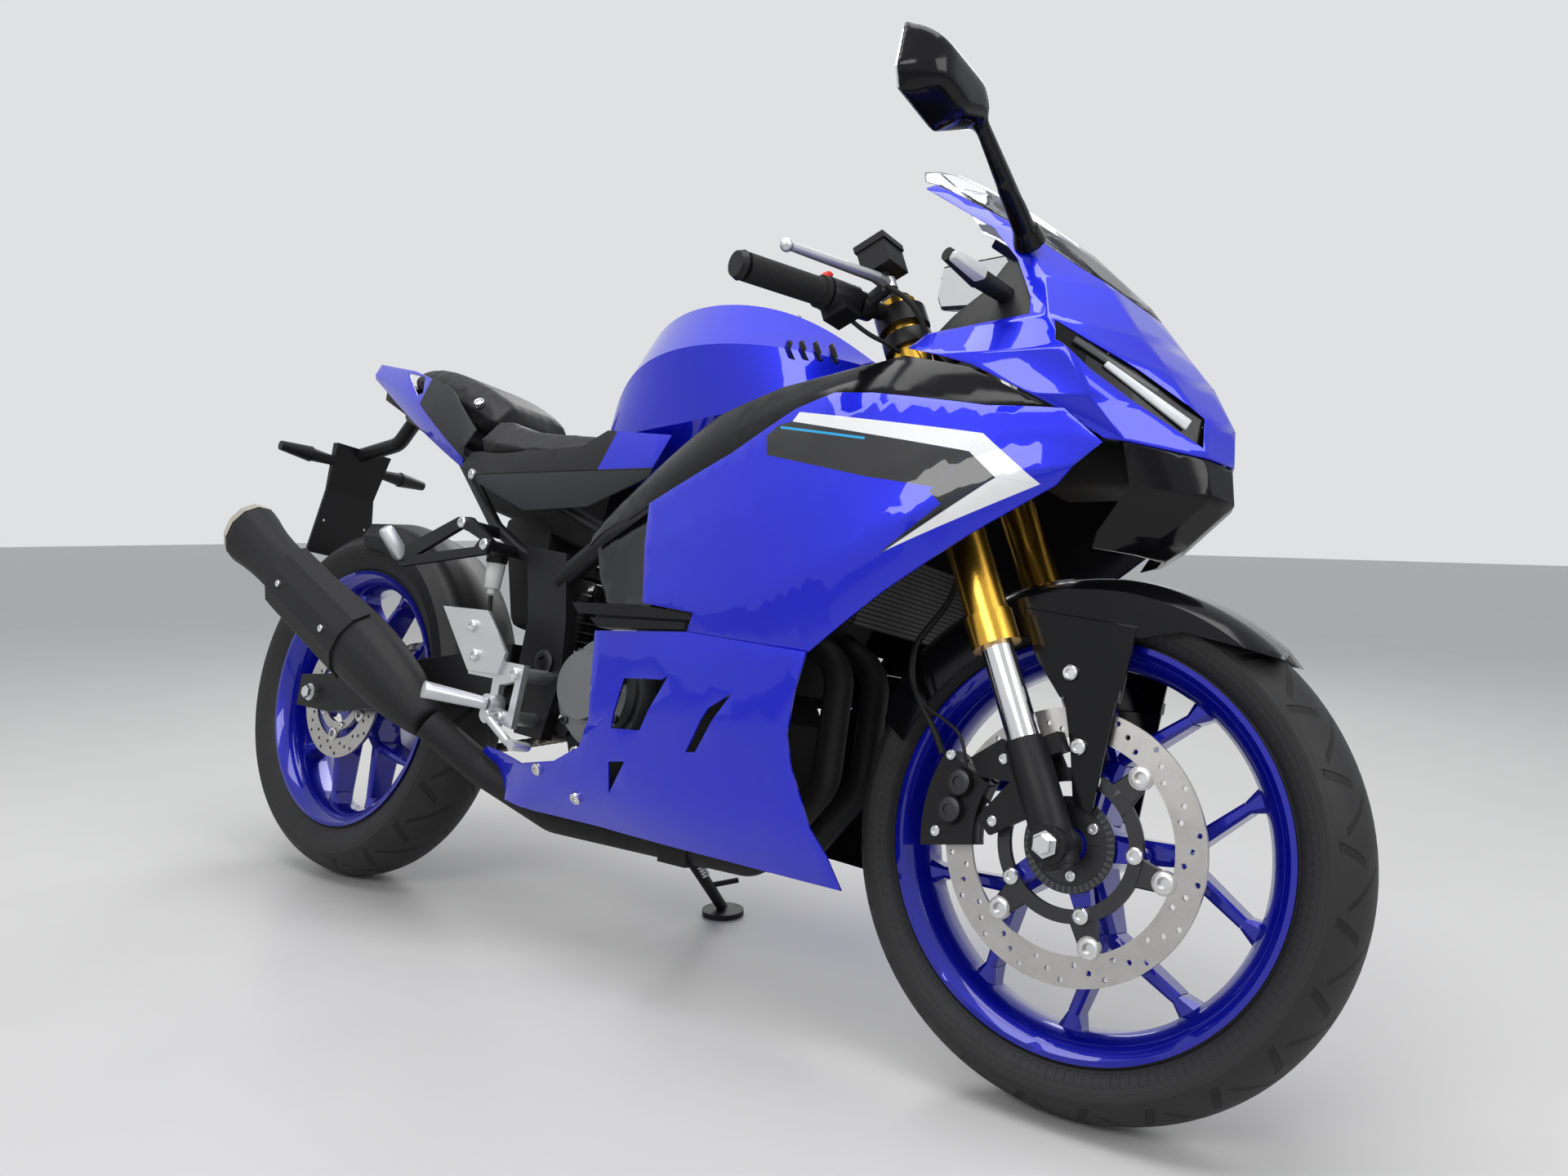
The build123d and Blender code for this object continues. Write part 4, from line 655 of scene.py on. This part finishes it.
def twin_of(master, matrix):
    """A copy of a piece, moved by a matrix."""
    twin = master.copy()
    twin.data = master.data.copy()
    bpy.context.collection.objects.link(twin)
    twin.data.transform(matrix @ master.matrix_basis)
    twin.matrix_basis = Matrix()
    return twin


def done(piece, name, finish, body, smooth=35):
    """Park a finished piece, and let it ride on a body."""
    pick(piece)
    piece.name = name
    piece.data.name = name
    piece.data.transform(DRAWN @ piece.matrix_basis)
    piece.matrix_basis = Matrix()
    piece.data.materials.clear()
    piece.data.materials.append(finishes[finish].material)
    bpy.ops.object.shade_smooth_by_angle(angle=math.radians(smooth))
    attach(piece, body)
    return piece


def copies(master, name, body, places, finish="zinc", slot="steel"):
    """One small part at many (point, direction) places, joined into one piece."""
    twins = [twin_of(master, aimed(point, direction)) for point, direction in places]
    return done(join(twins), name, finish, body)


def seat_on(names, x, z, side=-1):
    """Where a line across the bike first meets one of some nodes, and the way the surface faces there."""
    start = spot(x, side * 600, z)
    across = (PARK.to_3x3() @ Vector((0, -side, 0))).normalized()
    rays = [nodes[name].ray_cast(start, across) for name in names.split()]
    hits = [(place, normal) for hit, place, normal, face in rays if hit]
    if not hits:
        raise ValueError(f"nothing of {names} at {x}, {z}")
    place, normal = min(hits, key=lambda found: (found[0] - start).length)
    return tuple((UPRIGHT @ place) / MM), tuple(UPRIGHT.to_3x3() @ normal)


def seats_on(names, spots, sides=(-1,)):
    """The same for several side-view spots, on the right or on both sides."""
    return [seat_on(names, x, z, side) for side in sides for x, z in spots]


print("tools ready")

# %% [markdown]
# ## Screws and bolts
#
# Most fasteners of a bike are round-head screws with a socket, and wheel spindles have hexagon nuts. Each
# kind is modelled once and copied. The socket is an inset of the top face, pushed down.


# %% Model the fasteners
def round_screw(radius, height):
    screw = cylinder(18, radius, height, (0, 0, height / 2))
    edit(screw, top)
    inset(radius * 0.22)
    lift(height * 0.35)
    inset(radius * 0.3)
    push(-height * 0.6)
    clear()
    return screw


def hex_bolt(radius, height):
    bolt = cylinder(6, radius, height, (0, 0, height / 2))
    edit(bolt, top)
    inset(radius * 0.14)
    lift(height * 0.14)
    edit(bolt, bottom)
    push(height * 0.02)
    bpy.ops.transform.resize(value=(1.35, 1.35, 1))
    clear()
    return bolt


def ring_of(radius, y, count, turn, centre):
    """Places round a wheel in the side view, facing away from the middle of the bike."""
    steps = (math.radians(turn + 360 / count * index) for index in range(count))
    way = LEFT if y > 0 else RIGHT
    return [((centre[0] + radius * math.cos(a), y, centre[1] + radius * math.sin(a)), way) for a in steps]


def spindle_ends(axle, y):
    """Places at both ends of an axle."""
    return ring_of(0, -y, 1, 0, axle) + ring_of(0, y, 1, 0, axle)


def cover_ring(radius, turn, centre, side):
    """Seven places near the rim of a round engine cover."""
    spots = [(x, z) for (x, y, z), way in ring_of(radius, 0, 7, turn, centre)]
    return seats_on("engine_covers", spots, (side,))


front = (690, 294.58)
rear = (-690, 316.01)
small, large, nut = round_screw(6, 3), round_screw(9, 4.5), hex_bolt(11, 9)
piston_cap, pivot_cap = round_screw(14, 3.5), round_screw(19, 5)
panel_places = [seat_on("lower_cowls", -61, 268), seat_on("side_covers", -344, 702)]
panel_places += [seat_on("lower_cowls", 20, 240), seat_on("side_covers", -344, 702, 1)]
cover_places = cover_ring(62, 20, (14, 385), -1) + cover_ring(60, 10, (92, 350), 1)
FENDER = ((672, 480), (694, 400))
FOOTREST = ((-196, 456), (-180, 414), (-94, 395), (-112, 332))
PILLION = ((-285, 613), (-224, 580))
GUARD = ((-520, 424), (-665, 490))
PISTONS = ((566, 343), (558, 311))
CALIPER = ((612, 376), (607, 306), (548, 372), (540, 284))
ENGINE = ((-69, 348), (-12, 306), (-45, 297))
PIVOT = ((-107, 417),)
FASTENERS = (
    (large, "carrier_bolts", "front_wheel", ring_of(75, -66, 5, 1, front)),
    (small, "speed_ring_screws", "front_wheel", ring_of(33, -61, 3, 40, front)),
    (small, "rear_disc_bolts", "rear_wheel", ring_of(54, -70, 5, 1, rear)),
    (small, "sprocket_bolts", "rear_wheel", ring_of(58, 92, 6, 10, rear)),
    (nut, "front_axle_nuts", "steering", spindle_ends(front, 127)),
    (nut, "rear_axle_nuts", "chassis", spindle_ends(rear, 133)),
    (large, "fender_bolts", "steering", seats_on("front_fender", FENDER, BOTH)),
    (large, "panel_screws", "chassis", panel_places),
    (large, "footrest_bolts", "chassis", seats_on("footrests", FOOTREST, BOTH)),
    (large, "pillion_bolts", "chassis", seats_on("pillion_footrests", PILLION, BOTH)),
    (small, "engine_cover_screws", "chassis", cover_places, "dark_metal"),
    (small, "guard_screws", "chassis", seats_on("muffler_guard", GUARD)),
    (piston_cap, "caliper_caps", "steering", seats_on("front_caliper", PISTONS), "dark_metal", "frame_black"),
    (small, "caliper_bolts", "steering", seats_on("front_caliper", CALIPER)),
    (large, "engine_bolts", "chassis", seats_on("frame engine engine_covers", ENGINE)),
    (pivot_cap, "pivot_caps", "chassis", seats_on("frame", PIVOT, BOTH), "dark_metal", "frame_black"),
)
for row in FASTENERS:
    copies(*row)
for spare in (small, large, nut, piston_cap, pivot_cap):
    bpy.data.objects.remove(spare)
print("kinds of fasteners", len(FASTENERS))

# %% [markdown]
# ## Float buttons on the brake discs
#
# A brake band floats on hollow buttons. A button is a short drum with a rounded lip and a hole, so it
# starts as a cylinder whose upper end is inset twice and pushed in.

# %% Model the float buttons
button = cylinder(24, 11, 9)
edit(button, lambda centre, normal: abs(normal.z) > FLAT)
bpy.ops.mesh.inset(thickness=1.2, use_individual=True)
edit(button, lambda centre, normal: normal.z > FLAT and centre.length < 6)
lift(0.8)
edit(button, lambda centre, normal: normal.z > FLAT and centre.xy.length < 1)
inset(3.6)
push(-6)
clear()
front_buttons, rear_buttons = ring_of(109, -62, 6, 49, front), ring_of(69, -66, 5, 49, rear)
copies(button, "disc_buttons", "front_wheel", front_buttons)
copies(button, "rear_disc_buttons", "rear_wheel", rear_buttons)
bpy.data.objects.remove(button)
print("buttons", len(front_buttons) + len(rear_buttons))

# %% [markdown]
# ## Speed ring
#
# A thin ring with narrow slots tells the brake system how fast the wheel turns. One slot is modelled as
# an insert and set round the ring.

# %% Model the slots of the speed ring
SLOT_COUNT = 44
SLOT_REACH, SLOT_Y = 47.5, -63.3
slot_block = cube()
edit(slot_block)
bpy.ops.transform.resize(value=(6, 2, 1))
edit(slot_block, top)
inset(0.4)
push(-0.5)
clear()
hub = Matrix.Translation((front[0], SLOT_Y, front[1]))
lay = Matrix.Translation((SLOT_REACH, 0, 0)) @ Matrix.Rotation(QUARTER, 4, "X")
steps = (math.radians(360 / SLOT_COUNT * index) for index in range(SLOT_COUNT))
slots = [twin_of(slot_block, hub @ Matrix.Rotation(-step, 4, "Y") @ lay) for step in steps]
done(join(slots), "speed_ring_slots", "cast_grey", "front_wheel")
bpy.data.objects.remove(slot_block)
print("slots", SLOT_COUNT)

# %% [markdown]
# ## Chain links
#
# A roller chain is a row of equal links, so one side plate is modelled and set along both sides of the
# pitch line, which runs round both sprockets. It starts as a cylinder, and half of its points move one
# pitch along.

# %% Model the chain links
PITCH = 15.875
REAR_TEETH, DRIVE_TEETH = 43, 14
CHAIN_Y = 88
INNER, OUTER = 8.1, 8.9
big = PITCH / (2 * math.sin(math.pi / REAR_TEETH))
little = PITCH / (2 * math.sin(math.pi / DRIVE_TEETH))
drive = (-58, 392)
span = math.hypot(drive[0] - rear[0], drive[1] - rear[1])
slope = math.atan2(drive[1] - rear[1], drive[0] - rear[0])
lap = math.asin((big - little) / span)
run = span * math.cos(lap)
arcs = (run, little * (math.pi - 2 * lap), run, big * (math.pi + 2 * lap))
link_count = 2 * round(sum(arcs) / PITCH / 2)
pitch = sum(arcs) / link_count


def on_arc(centre, radius, angle, further=0):
    """Point and heading on a sprocket, or so much further along the straight run that leaves it there."""
    heading = angle - math.pi / 2
    x = centre[0] + radius * math.cos(angle) + further * math.cos(heading)
    return x, centre[1] + radius * math.sin(angle) + further * math.sin(heading), heading


def on_chain(distance):
    """Point and heading on the pitch line, starting along the top run."""
    upper_run, lower_run = slope + math.pi / 2 - lap, slope - math.pi / 2 + lap
    if distance < arcs[0]:
        return on_arc(rear, big, upper_run, distance)
    distance -= arcs[0]
    if distance < arcs[1]:
        return on_arc(drive, little, upper_run - distance / little)
    distance -= arcs[1]
    if distance < arcs[2]:
        return on_arc(drive, little, lower_run, distance)
    return on_arc(rear, big, lower_run - (distance - arcs[2]) / big)


plate = cylinder(12, 6.8, 1.6)
edit(plate)
select("VERT", "DESELECT")
bpy.ops.object.mode_set(mode="OBJECT")
for vertex in plate.data.vertices:
    vertex.select = vertex.co.x > 0.1
bpy.ops.object.mode_set(mode="EDIT")
bpy.ops.transform.translate(value=(pitch, 0, 0))
edit(plate, top)
inset(1)
lift(0.6)
clear()
links = []
for index in range(link_count):
    x, z, heading = on_chain(index * pitch)
    offset = OUTER if index % 2 else INNER
    for side in BOTH:
        lay = Matrix.Rotation(-heading, 4, "Y") @ Matrix.Rotation(-QUARTER * side, 4, "X")
        links.append(twin_of(plate, Matrix.Translation((x, CHAIN_Y + side * offset, z)) @ lay))
done(join(links), "chain_links", "chain_steel", "chassis")
bpy.data.objects.remove(plate)
print("links", link_count, "pitch", round(pitch, 3))

# %% [markdown]
# ## Coil springs
#
# The stand is held by a coil spring, and the rear suspension has a larger one. A coil is a small circle
# swept along a screw line, which the Screw modifier does in one step.


# %% Model the coil springs
STEPS_A_TURN = 20


def coil(name, start, end, radius, wire, turns, finish, body, slot):
    low, high = Vector(start), Vector(end)
    steps = STEPS_A_TURN * turns
    clear()
    bpy.ops.mesh.primitive_circle_add(vertices=8, radius=wire, location=(0, 0, 0))
    spring = bpy.context.object
    edit(spring)
    select("VERT", "SELECT")
    bpy.ops.transform.rotate(value=QUARTER, orient_axis="X", center_override=(0, 0, 0))
    bpy.ops.transform.translate(value=(radius, 0, 0))
    apply(spring, "SCREW", angle=2 * math.pi * turns, screw_offset=(high - low).length, steps=steps,
          render_steps=steps, axis="Z", use_merge_vertices=True)
    edit(spring)
    select("EDGE", "DESELECT")
    bpy.ops.mesh.select_non_manifold()
    bpy.ops.mesh.fill_holes(sides=0)
    bpy.ops.mesh.select_all(action="SELECT")
    bpy.ops.mesh.normals_make_consistent(inside=False)
    clear()
    spring.data.transform(aimed(low, high - low))
    return done(spring, name, finish, body)


SPRING_OFFSET, SPRING_FROM, SPRING_TO = 18, 36, 128
stand_top = Vector((-70, 128, 212))
stand_foot = Vector((-18, 258, 258 * math.tan(LEAN)))
stand_down = (stand_foot - stand_top).normalized()
stand_axis = Vector((0, -stand_down.z, stand_down.y)).normalized()
spring_line = stand_top + stand_down.cross(stand_axis).normalized() * SPRING_OFFSET
spring_ends = (spring_line + stand_down * SPRING_FROM, spring_line + stand_down * SPRING_TO)
stand_coil = coil("stand_coil", *spring_ends, 6, 1.9, 16, "steel", "stand", "steel")
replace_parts(stand_coil, "stand_spring")
shock_ends = ((-168, 0, 452), (-155.5, 0, 526))
coil("shock_coil", *shock_ends, 35, 4.2, 5, "dark_metal", "chassis", "frame_black")
print("coils 2")

# %% [markdown]
# ## Headlamps
#
# Each headlamp is a dark slot with a clear light guide along it and a grey one above. A guide starts as a
# block, is drawn out along the slot and tapers to its outer end. A black liner closes the nose behind them.


# %% Model the light guides
def bar_between(start, end, wide_start, wide_end):
    """A rounded block from one point to another, with a width and a height at each end."""
    low, high = Vector(start), Vector(end)
    block = cube()
    edit(block)
    lift(0.5)
    bpy.ops.transform.resize(value=(*wide_start, (high - low).length), center_override=(0, 0, 0))
    edit(block, top)
    bpy.ops.transform.resize(value=(wide_end[0] / wide_start[0], wide_end[1] / wide_start[1], 1))
    round_off(block, 0.3 * min(*wide_start, *wide_end))
    block.data.transform(aimed(low, high - low))
    return block


def pair(block):
    """A right-hand piece joined with its mirror image on the left."""
    edit(join([block, twin_of(block, Matrix.Scale(-1, 4, LEFT))]))
    bpy.ops.mesh.normals_make_consistent(inside=False)
    clear()
    return block


def add_bar(name, finish, slot, start, end, wide_start, wide_end, body="chassis", both=True):
    """A finished block, with its mirror image where both sides have one."""
    block = bar_between(start, end, wide_start, wide_end)
    done(pair(block) if both else block, name, finish, body)


# The clear light guides carry the painted glow of the led_bar finish.
add_bar("light_guides", "led_bar", "lamp_clear", (696, -126, 815), (770, -58, 762), (5, 7), (5, 13))
add_bar("upper_guides", "lamp_grey", "lamp_clear", (668, -151, 836), (741, -84, 792), (5, 7), (5, 9))
LINER = ((588, 0, 735), (712, 0, 722), (112, 72), (92, 44))
add_bar("nose_liner", "matte_black", "black_satin", *LINER, both=False)
LENS = ((566, -189, 906), (551, -233, 914), (20, 17), (13, 11))
add_bar("indicator_lenses", "clear_lens", "lamp_amber", *LENS)
print("lamps 3, liner 1")

# %% [markdown]
# ## Slits in the tank, pillion pegs and under-tray
#
# The tank has four slits on each side, and each gets a thin black insert as its floor. The pillion pegs are
# bright bars, folded up against their hangers. A black tray under the seat and its front wall close the
# view through the rear frame.

# %% Model the tank slits, the pegs and the tray
SLITS = ((240, 119), (257, 115), (274, 107), (291, 94))
SLIT_SIZE, SLIT_DEPTH = (3, 8), 4.5
inserts = []
for x, half in SLITS:
    floor_y = SLIT_DEPTH - half
    insert = bar_between((x + 5.5, floor_y, 881.5), (x + 19.5, floor_y, 855), SLIT_SIZE, SLIT_SIZE)
    inserts.append(pair(insert))
done(join(inserts), "tank_slits", "lamp_black", "chassis")
PEG = ((-431, -174, 553), (-442, -210, 597), (23, 23), (23, 23))
add_bar("pillion_pegs", "aluminium", "aluminium", *PEG)
tray = bar_between((-110, 0, 655), (-440, 0, 706), (116, 130), (100, 64))
wall = bar_between((-262, 0, 470), (-290, 0, 660), (112, 64), (112, 130))
done(join([tray, wall]), "under_tray", "matte_black", "chassis")
print("slits", len(SLITS))

# %% [markdown]
# ## Cockpit
#
# The rider sees a dark display in the dash, the key switch on the top clamp, a red stop switch, and the
# caps of the fork legs. All are small blocks and drums, shaped with insets and extrusions.


# %% Model the cockpit details
def drum(name, start, end, radius, lip, finish, body, slot):
    """A round cap with a recessed top."""
    low, high = Vector(start), Vector(end)
    deep = (high - low).length
    cap = cylinder(28, radius, deep)
    edit(cap, top)
    inset(lip)
    push(-0.35 * deep)
    round_off(cap, 0.12 * min(deep, radius))
    cap.data.transform(aimed((low + high) / 2, high - low))
    return done(cap, name, finish, body)


TILT = math.radians(25)
AXIS_FOOT = Vector((655.3, 0, 278.1))


def fork_point(forward, y, rise):
    """A point measured along the tilted fork, as seen from the upright bike."""
    x = AXIS_FOOT.x + forward * math.cos(TILT) - rise * math.sin(TILT)
    return (x, y, AXIS_FOOT.z + forward * math.sin(TILT) + rise * math.cos(TILT))


def fork_drum(name, forward, y, rises, radius, lip, finish, slot):
    """A drum that stands along the fork and turns with it."""
    ends = (fork_point(forward, y, rise) for rise in rises)
    drum(name, *ends, radius, lip, finish, "steering", slot)


DISPLAY = ((511.2, 0, 922.4), (529.2, 0, 965.4), (92, 4), (92, 4))
SWITCH = ((366, -206, 918), (364, -214, 922), (16, 12), (13, 10))
add_bar("dash_display", "dash_glass", "black_satin", *DISPLAY, both=False)
add_bar("stop_switch", "red_switch", "lamp_red", *SWITCH, body="steering", both=False)
for name, y in (("fork_cap_right", -98), ("fork_cap_left", 98)):
    fork_drum(name, 38.3, y, (690.2, 699), 20, 6, "dark_metal", "frame_black")
fork_drum("stem_nut", 0, 0, (646.2, 656), 17, 5, "zinc", "steel")
fork_drum("key_switch", 52, 0, (640.5, 668), 15, 4, "satin_black", "frame_black")
print("cockpit pieces 6")

# %% [markdown]
# ## Rear brake reservoir, seat lock and silencer outlet
#
# The rear brake fluid is kept in a small milky cup with a black cap beside the frame. The seat lock is a
# bright barrel in the side of the tail. The outlet of the silencer is a dark cup in the end cap.

# %% Model the reservoir, the lock and the outlet
CUP_X, CUP_Y = -256, -128
OUTLET = Vector((-880, -192, 585))
OUTLET_WAY = Vector((-40, 0, 21)).normalized()
cup = cylinder(28, 15, 40, (CUP_X, CUP_Y, 540))
edit(cup, bottom)
bpy.ops.transform.resize(value=(0.8, 0.8, 1))
inset(5)
push(-9)
round_off(cup, 2)
done(cup, "rear_reservoir", "milk_plastic", "chassis")
lid_ends = ((CUP_X, CUP_Y, 560.3), (CUP_X, CUP_Y, 577))
drum("reservoir_cap", *lid_ends, 16.5, 4, "satin_black", "chassis", "black_satin")
place, facing = (Vector(part) for part in seat_on("pillion_seat", -420, 838))
drum("seat_lock", place - facing * 6, place + facing * 4, 9, 3, "zinc", "chassis", "steel")
outlet_ends = (OUTLET - OUTLET_WAY * 3, OUTLET + OUTLET_WAY * 2.5)
drum("muffler_outlet", *outlet_ends, 17.6, 4, "matte_black", "chassis", "muffler_black")
print("reservoir, lock and outlet")

# %% [markdown]
# ## Hoses and cables
#
# Hoses are smooth lines with a round section, so each one is a curve with few control points. A curve of
# order three rounds its own corners, as a hose does.


# %% Model the hoses
def hose(name, diameter, body, route):
    line = bpy.data.curves.new(name, "CURVE")
    line.dimensions = "3D"
    line.resolution_u = 16
    spline = line.splines.new("NURBS")
    spline.points.add(len(route) - 1)
    for knot, point in zip(spline.points, route):
        knot.co = (*spot(*point), 1)
    spline.order_u = 3
    spline.use_endpoint_u = True
    piece = bpy.data.objects.new(name, line)
    bpy.context.collection.objects.link(piece)
    bare = bpy.data.meshes.new_from_object(piece)
    points = [vertex.co for vertex in bare.vertices]
    length = sum((b - a).length for a, b in zip(points, points[1:]))
    line.bevel_depth = diameter * MM / 2
    line.bevel_resolution = 4
    line.use_fill_caps = True
    line.materials.append(finishes["hose_rubber"].material)
    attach(piece, body)
    return round(length, 3)


HOSES = (
    ("front_brake_hose", 8, "steering", (
        (532, -79, 372), (520, -80, 396), (492, -80, 430), (474, -77, 462),
        (474, -72, 500), (494, -66, 530), (512, -58, 566), (508, -52, 600))),
    ("speed_wire", 4, "steering", (
        (575, -98, 360), (568, -99, 394), (540, -97, 410),
        (508, -95, 424), (484, -90, 452), (482, -84, 492))),
    ("bar_brake_hose", 7, "steering", (
        (424, -168, 918), (446, -150, 908), (462, -130, 880), (466, -112, 840), (462, -90, 800))),
    ("throttle_cable", 6, "steering", (
        (372, -188, 888), (392, -160, 866), (420, -128, 856), (444, -104, 836), (456, -84, 800))),
    ("clutch_cable", 6, "steering", (
        (376, 188, 892), (396, 160, 870), (424, 128, 858), (446, 104, 836), (458, 84, 800))),
    ("reservoir_hose", 7, "chassis", (
        (-256, -128, 509), (-256, -126, 484), (-244, -128, 460), (-222, -132, 436))),
)
print("hoses", [hose(*row) for row in HOSES])

# %% [markdown]
# ## Seats
#
# A seat is foam under a stretched cover. The CAD seat is copied, shrunk a little, remeshed to an even
# skin and blown up by a cloth simulation with pressure inside, so that its faces crown and its edges
# stay soft. The movement is capped so that the cover keeps to its base.

# %% Puff up the seats
MERGE_REACH = 0.00005
PAD_SHRINK, PAD_VOXEL, PAD_CAP = 0.003, 0.005, 0.006
PRESSURE, TENSION, LAST_FRAME = 4, 20, 20


def merged_copy(node, name):
    """A copy of a CAD node with its loose triangles merged, left in edit mode."""
    piece = bpy.data.objects.new(name, nodes[node].data.copy())
    bpy.context.collection.objects.link(piece)
    edit(piece)
    bpy.ops.mesh.remove_doubles(threshold=MERGE_REACH)
    return piece


def puff(piece):
    """Blow a piece up, but let no point move further than the cap."""
    rest = [vertex.co.copy() for vertex in piece.data.vertices]
    pick(piece)
    cloth = piece.modifiers.new("puff", "CLOTH")
    cloth.settings.use_pressure = True
    cloth.settings.uniform_pressure_force = PRESSURE
    cloth.settings.effector_weights.gravity = 0
    cloth.settings.tension_stiffness = TENSION
    for step in range(1, LAST_FRAME + 1):
        bpy.context.scene.frame_set(step)
    bpy.ops.object.modifier_apply(modifier="puff")
    bpy.context.scene.frame_set(1)
    for vertex, start in zip(piece.data.vertices, rest):
        move = vertex.co - start
        if move.length > PAD_CAP:
            vertex.co = start + move.normalized() * PAD_CAP


def pad(node, name):
    piece = merged_copy(node, name)
    bpy.ops.transform.shrink_fatten(value=-PAD_SHRINK)
    apply(piece, "REMESH", mode="VOXEL", voxel_size=PAD_VOXEL)
    puff(piece)
    apply(piece, "SMOOTH", factor=0.5, iterations=6)
    apply(piece, "SUBSURF", levels=1, render_levels=1)
    piece.data.materials.clear()
    piece.data.materials.append(finishes["seat_cover"].material)
    pick(piece)
    bpy.ops.object.shade_smooth()
    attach(piece, "chassis")
    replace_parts(piece, node)
    return len(piece.data.polygons)


print("pads", pad("rider_seat", "rider_pad"), pad("pillion_seat", "pillion_pad"))

# %% [markdown]
# ## Soft shells
#
# The silencer and the mirrors are drawn with flat sides in the CAD model, but real ones are softly rounded.
# A copy of each is remeshed to an even skin and smoothed. The mirrors' thin stems are left out of the
# smoothing, since it would wear them away.

# %% Round the silencer and the mirrors
MIRROR_FOLD = math.radians(80)
MIRROR_FOOT = (584, 122)
STEM_TOP, RIM_X = 1000, 569


def melt(node, name, voxel, rounds, finish, soft):
    """Stand in for a CAD node by a copy that is rounded where soft(point) says so."""
    piece = merged_copy(node, name)
    apply(piece, "REMESH", mode="VOXEL", voxel_size=voxel * MM)
    group = piece.vertex_groups.new(name="soft")
    chosen = [vertex.index for vertex in piece.data.vertices if soft((UPRIGHT @ vertex.co) / MM)]
    group.add(chosen, 1, "REPLACE")
    apply(piece, "SMOOTH", factor=0.5, iterations=rounds, vertex_group="soft")
    apply(piece, "SMOOTH", factor=0.5, iterations=3)
    piece.vertex_groups.clear()
    piece.data.transform(DRAWN.inverted())
    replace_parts(done(piece, name, finish, "chassis", 60), node)
    return len(piece.data.polygons)


def behind_rim(point):
    """True for mirror shells, away from the glass; the left mirror is turned back to be measured."""
    forward = point.x
    if point.y > 0:
        away_x, away_y = point.x - MIRROR_FOOT[0], point.y - MIRROR_FOOT[1]
        forward = MIRROR_FOOT[0] + away_x * math.cos(MIRROR_FOLD) + away_y * math.sin(MIRROR_FOLD)
    return point.z >= STEM_TOP and forward > RIM_X


silencer = melt("muffler", "silencer", 3, 24, "matte_black", lambda point: True)
shells = melt("mirrors", "mirror_shells", 2.2, 60, "gloss_black", behind_rim)
print("soft shells", silencer, shells)

# %% [markdown]
# ## Light, floor and backdrop
#
# The bike stands in a bright show room with a pale floor. Rays from the camera and reflections see a pale
# backdrop. The light on the bike comes from a dimmer sky and the lamps, so that colours come out as written.

# %% Floor, sky and lamps
bpy.ops.mesh.primitive_plane_add(size=40, location=(0, 0, 0))
floor = bpy.context.object
floor.name = "floor"
tiles = Finish("floor_tiles", Roughness=0.35, Specular_IOR_Level=0.3)
tiles.mottle(3, rgb(0.6, 0.595, 0.59), rgb(0.66, 0.655, 0.65))
floor.data.materials.append(tiles.material)


class Sky(Finish):
    """The world's node tree, built with the same node method."""

    def __init__(self, name):
        world = bpy.data.worlds.new(name)
        bpy.context.scene.world = world
        world.use_nodes = True
        self.tree = world.node_tree
        self.tree.nodes.clear()


FILL = {0: rgb(0.95, 0.97, 1), 1: 0.36}
BACKDROP = {0: rgb(0.74, 0.75, 0.765), 1: 1}
sky = Sky("show_room")
seen, mirrored, through = (
    sky.node("LightPath", output=f"Is {kind} Ray") for kind in ("Camera", "Glossy", "Transmission")
)
pale = sky.node("Math", {"operation": "ADD", "use_clamp": True}, {0: seen, 1: mirrored + through})
skies = {0: pale, 1: sky.node("Background", None, FILL), 2: sky.node("Background", None, BACKDROP)}
sky.node("OutputWorld", None, {0: sky.node("MixShader", None, skies)})


def lamp(name, place, target, size, watts):
    bpy.ops.object.light_add(type="AREA", location=place)
    made = bpy.context.object
    made.name = name
    made.data.shape = "RECTANGLE"
    made.data.size, made.data.size_y = size
    made.data.energy = watts
    made.rotation_euler = (Vector(target) - Vector(place)).to_track_quat("-Z", "Y").to_euler()


LAMPS = (
    ("ceiling_light", (0.2, -0.5, 3.2), (0, 0, 0.4), (3.4, 1.6), 74),
    ("front_light", (3.2, -0.6, 2), (0.3, 0, 0.5), (1.4, 1.4), 26),
    ("side_light", (0.5, -3.6, 2.7), (0, 0, 0.5), (2.4, 1), 44),
    ("back_light", (-1.4, 2.6, 2.4), (0, 0, 0.6), (2, 1.2), 34),
)
for row in LAMPS:
    lamp(*row)
bpy.context.scene.view_settings.view_transform = "Standard"
print("lamps", len(LAMPS))
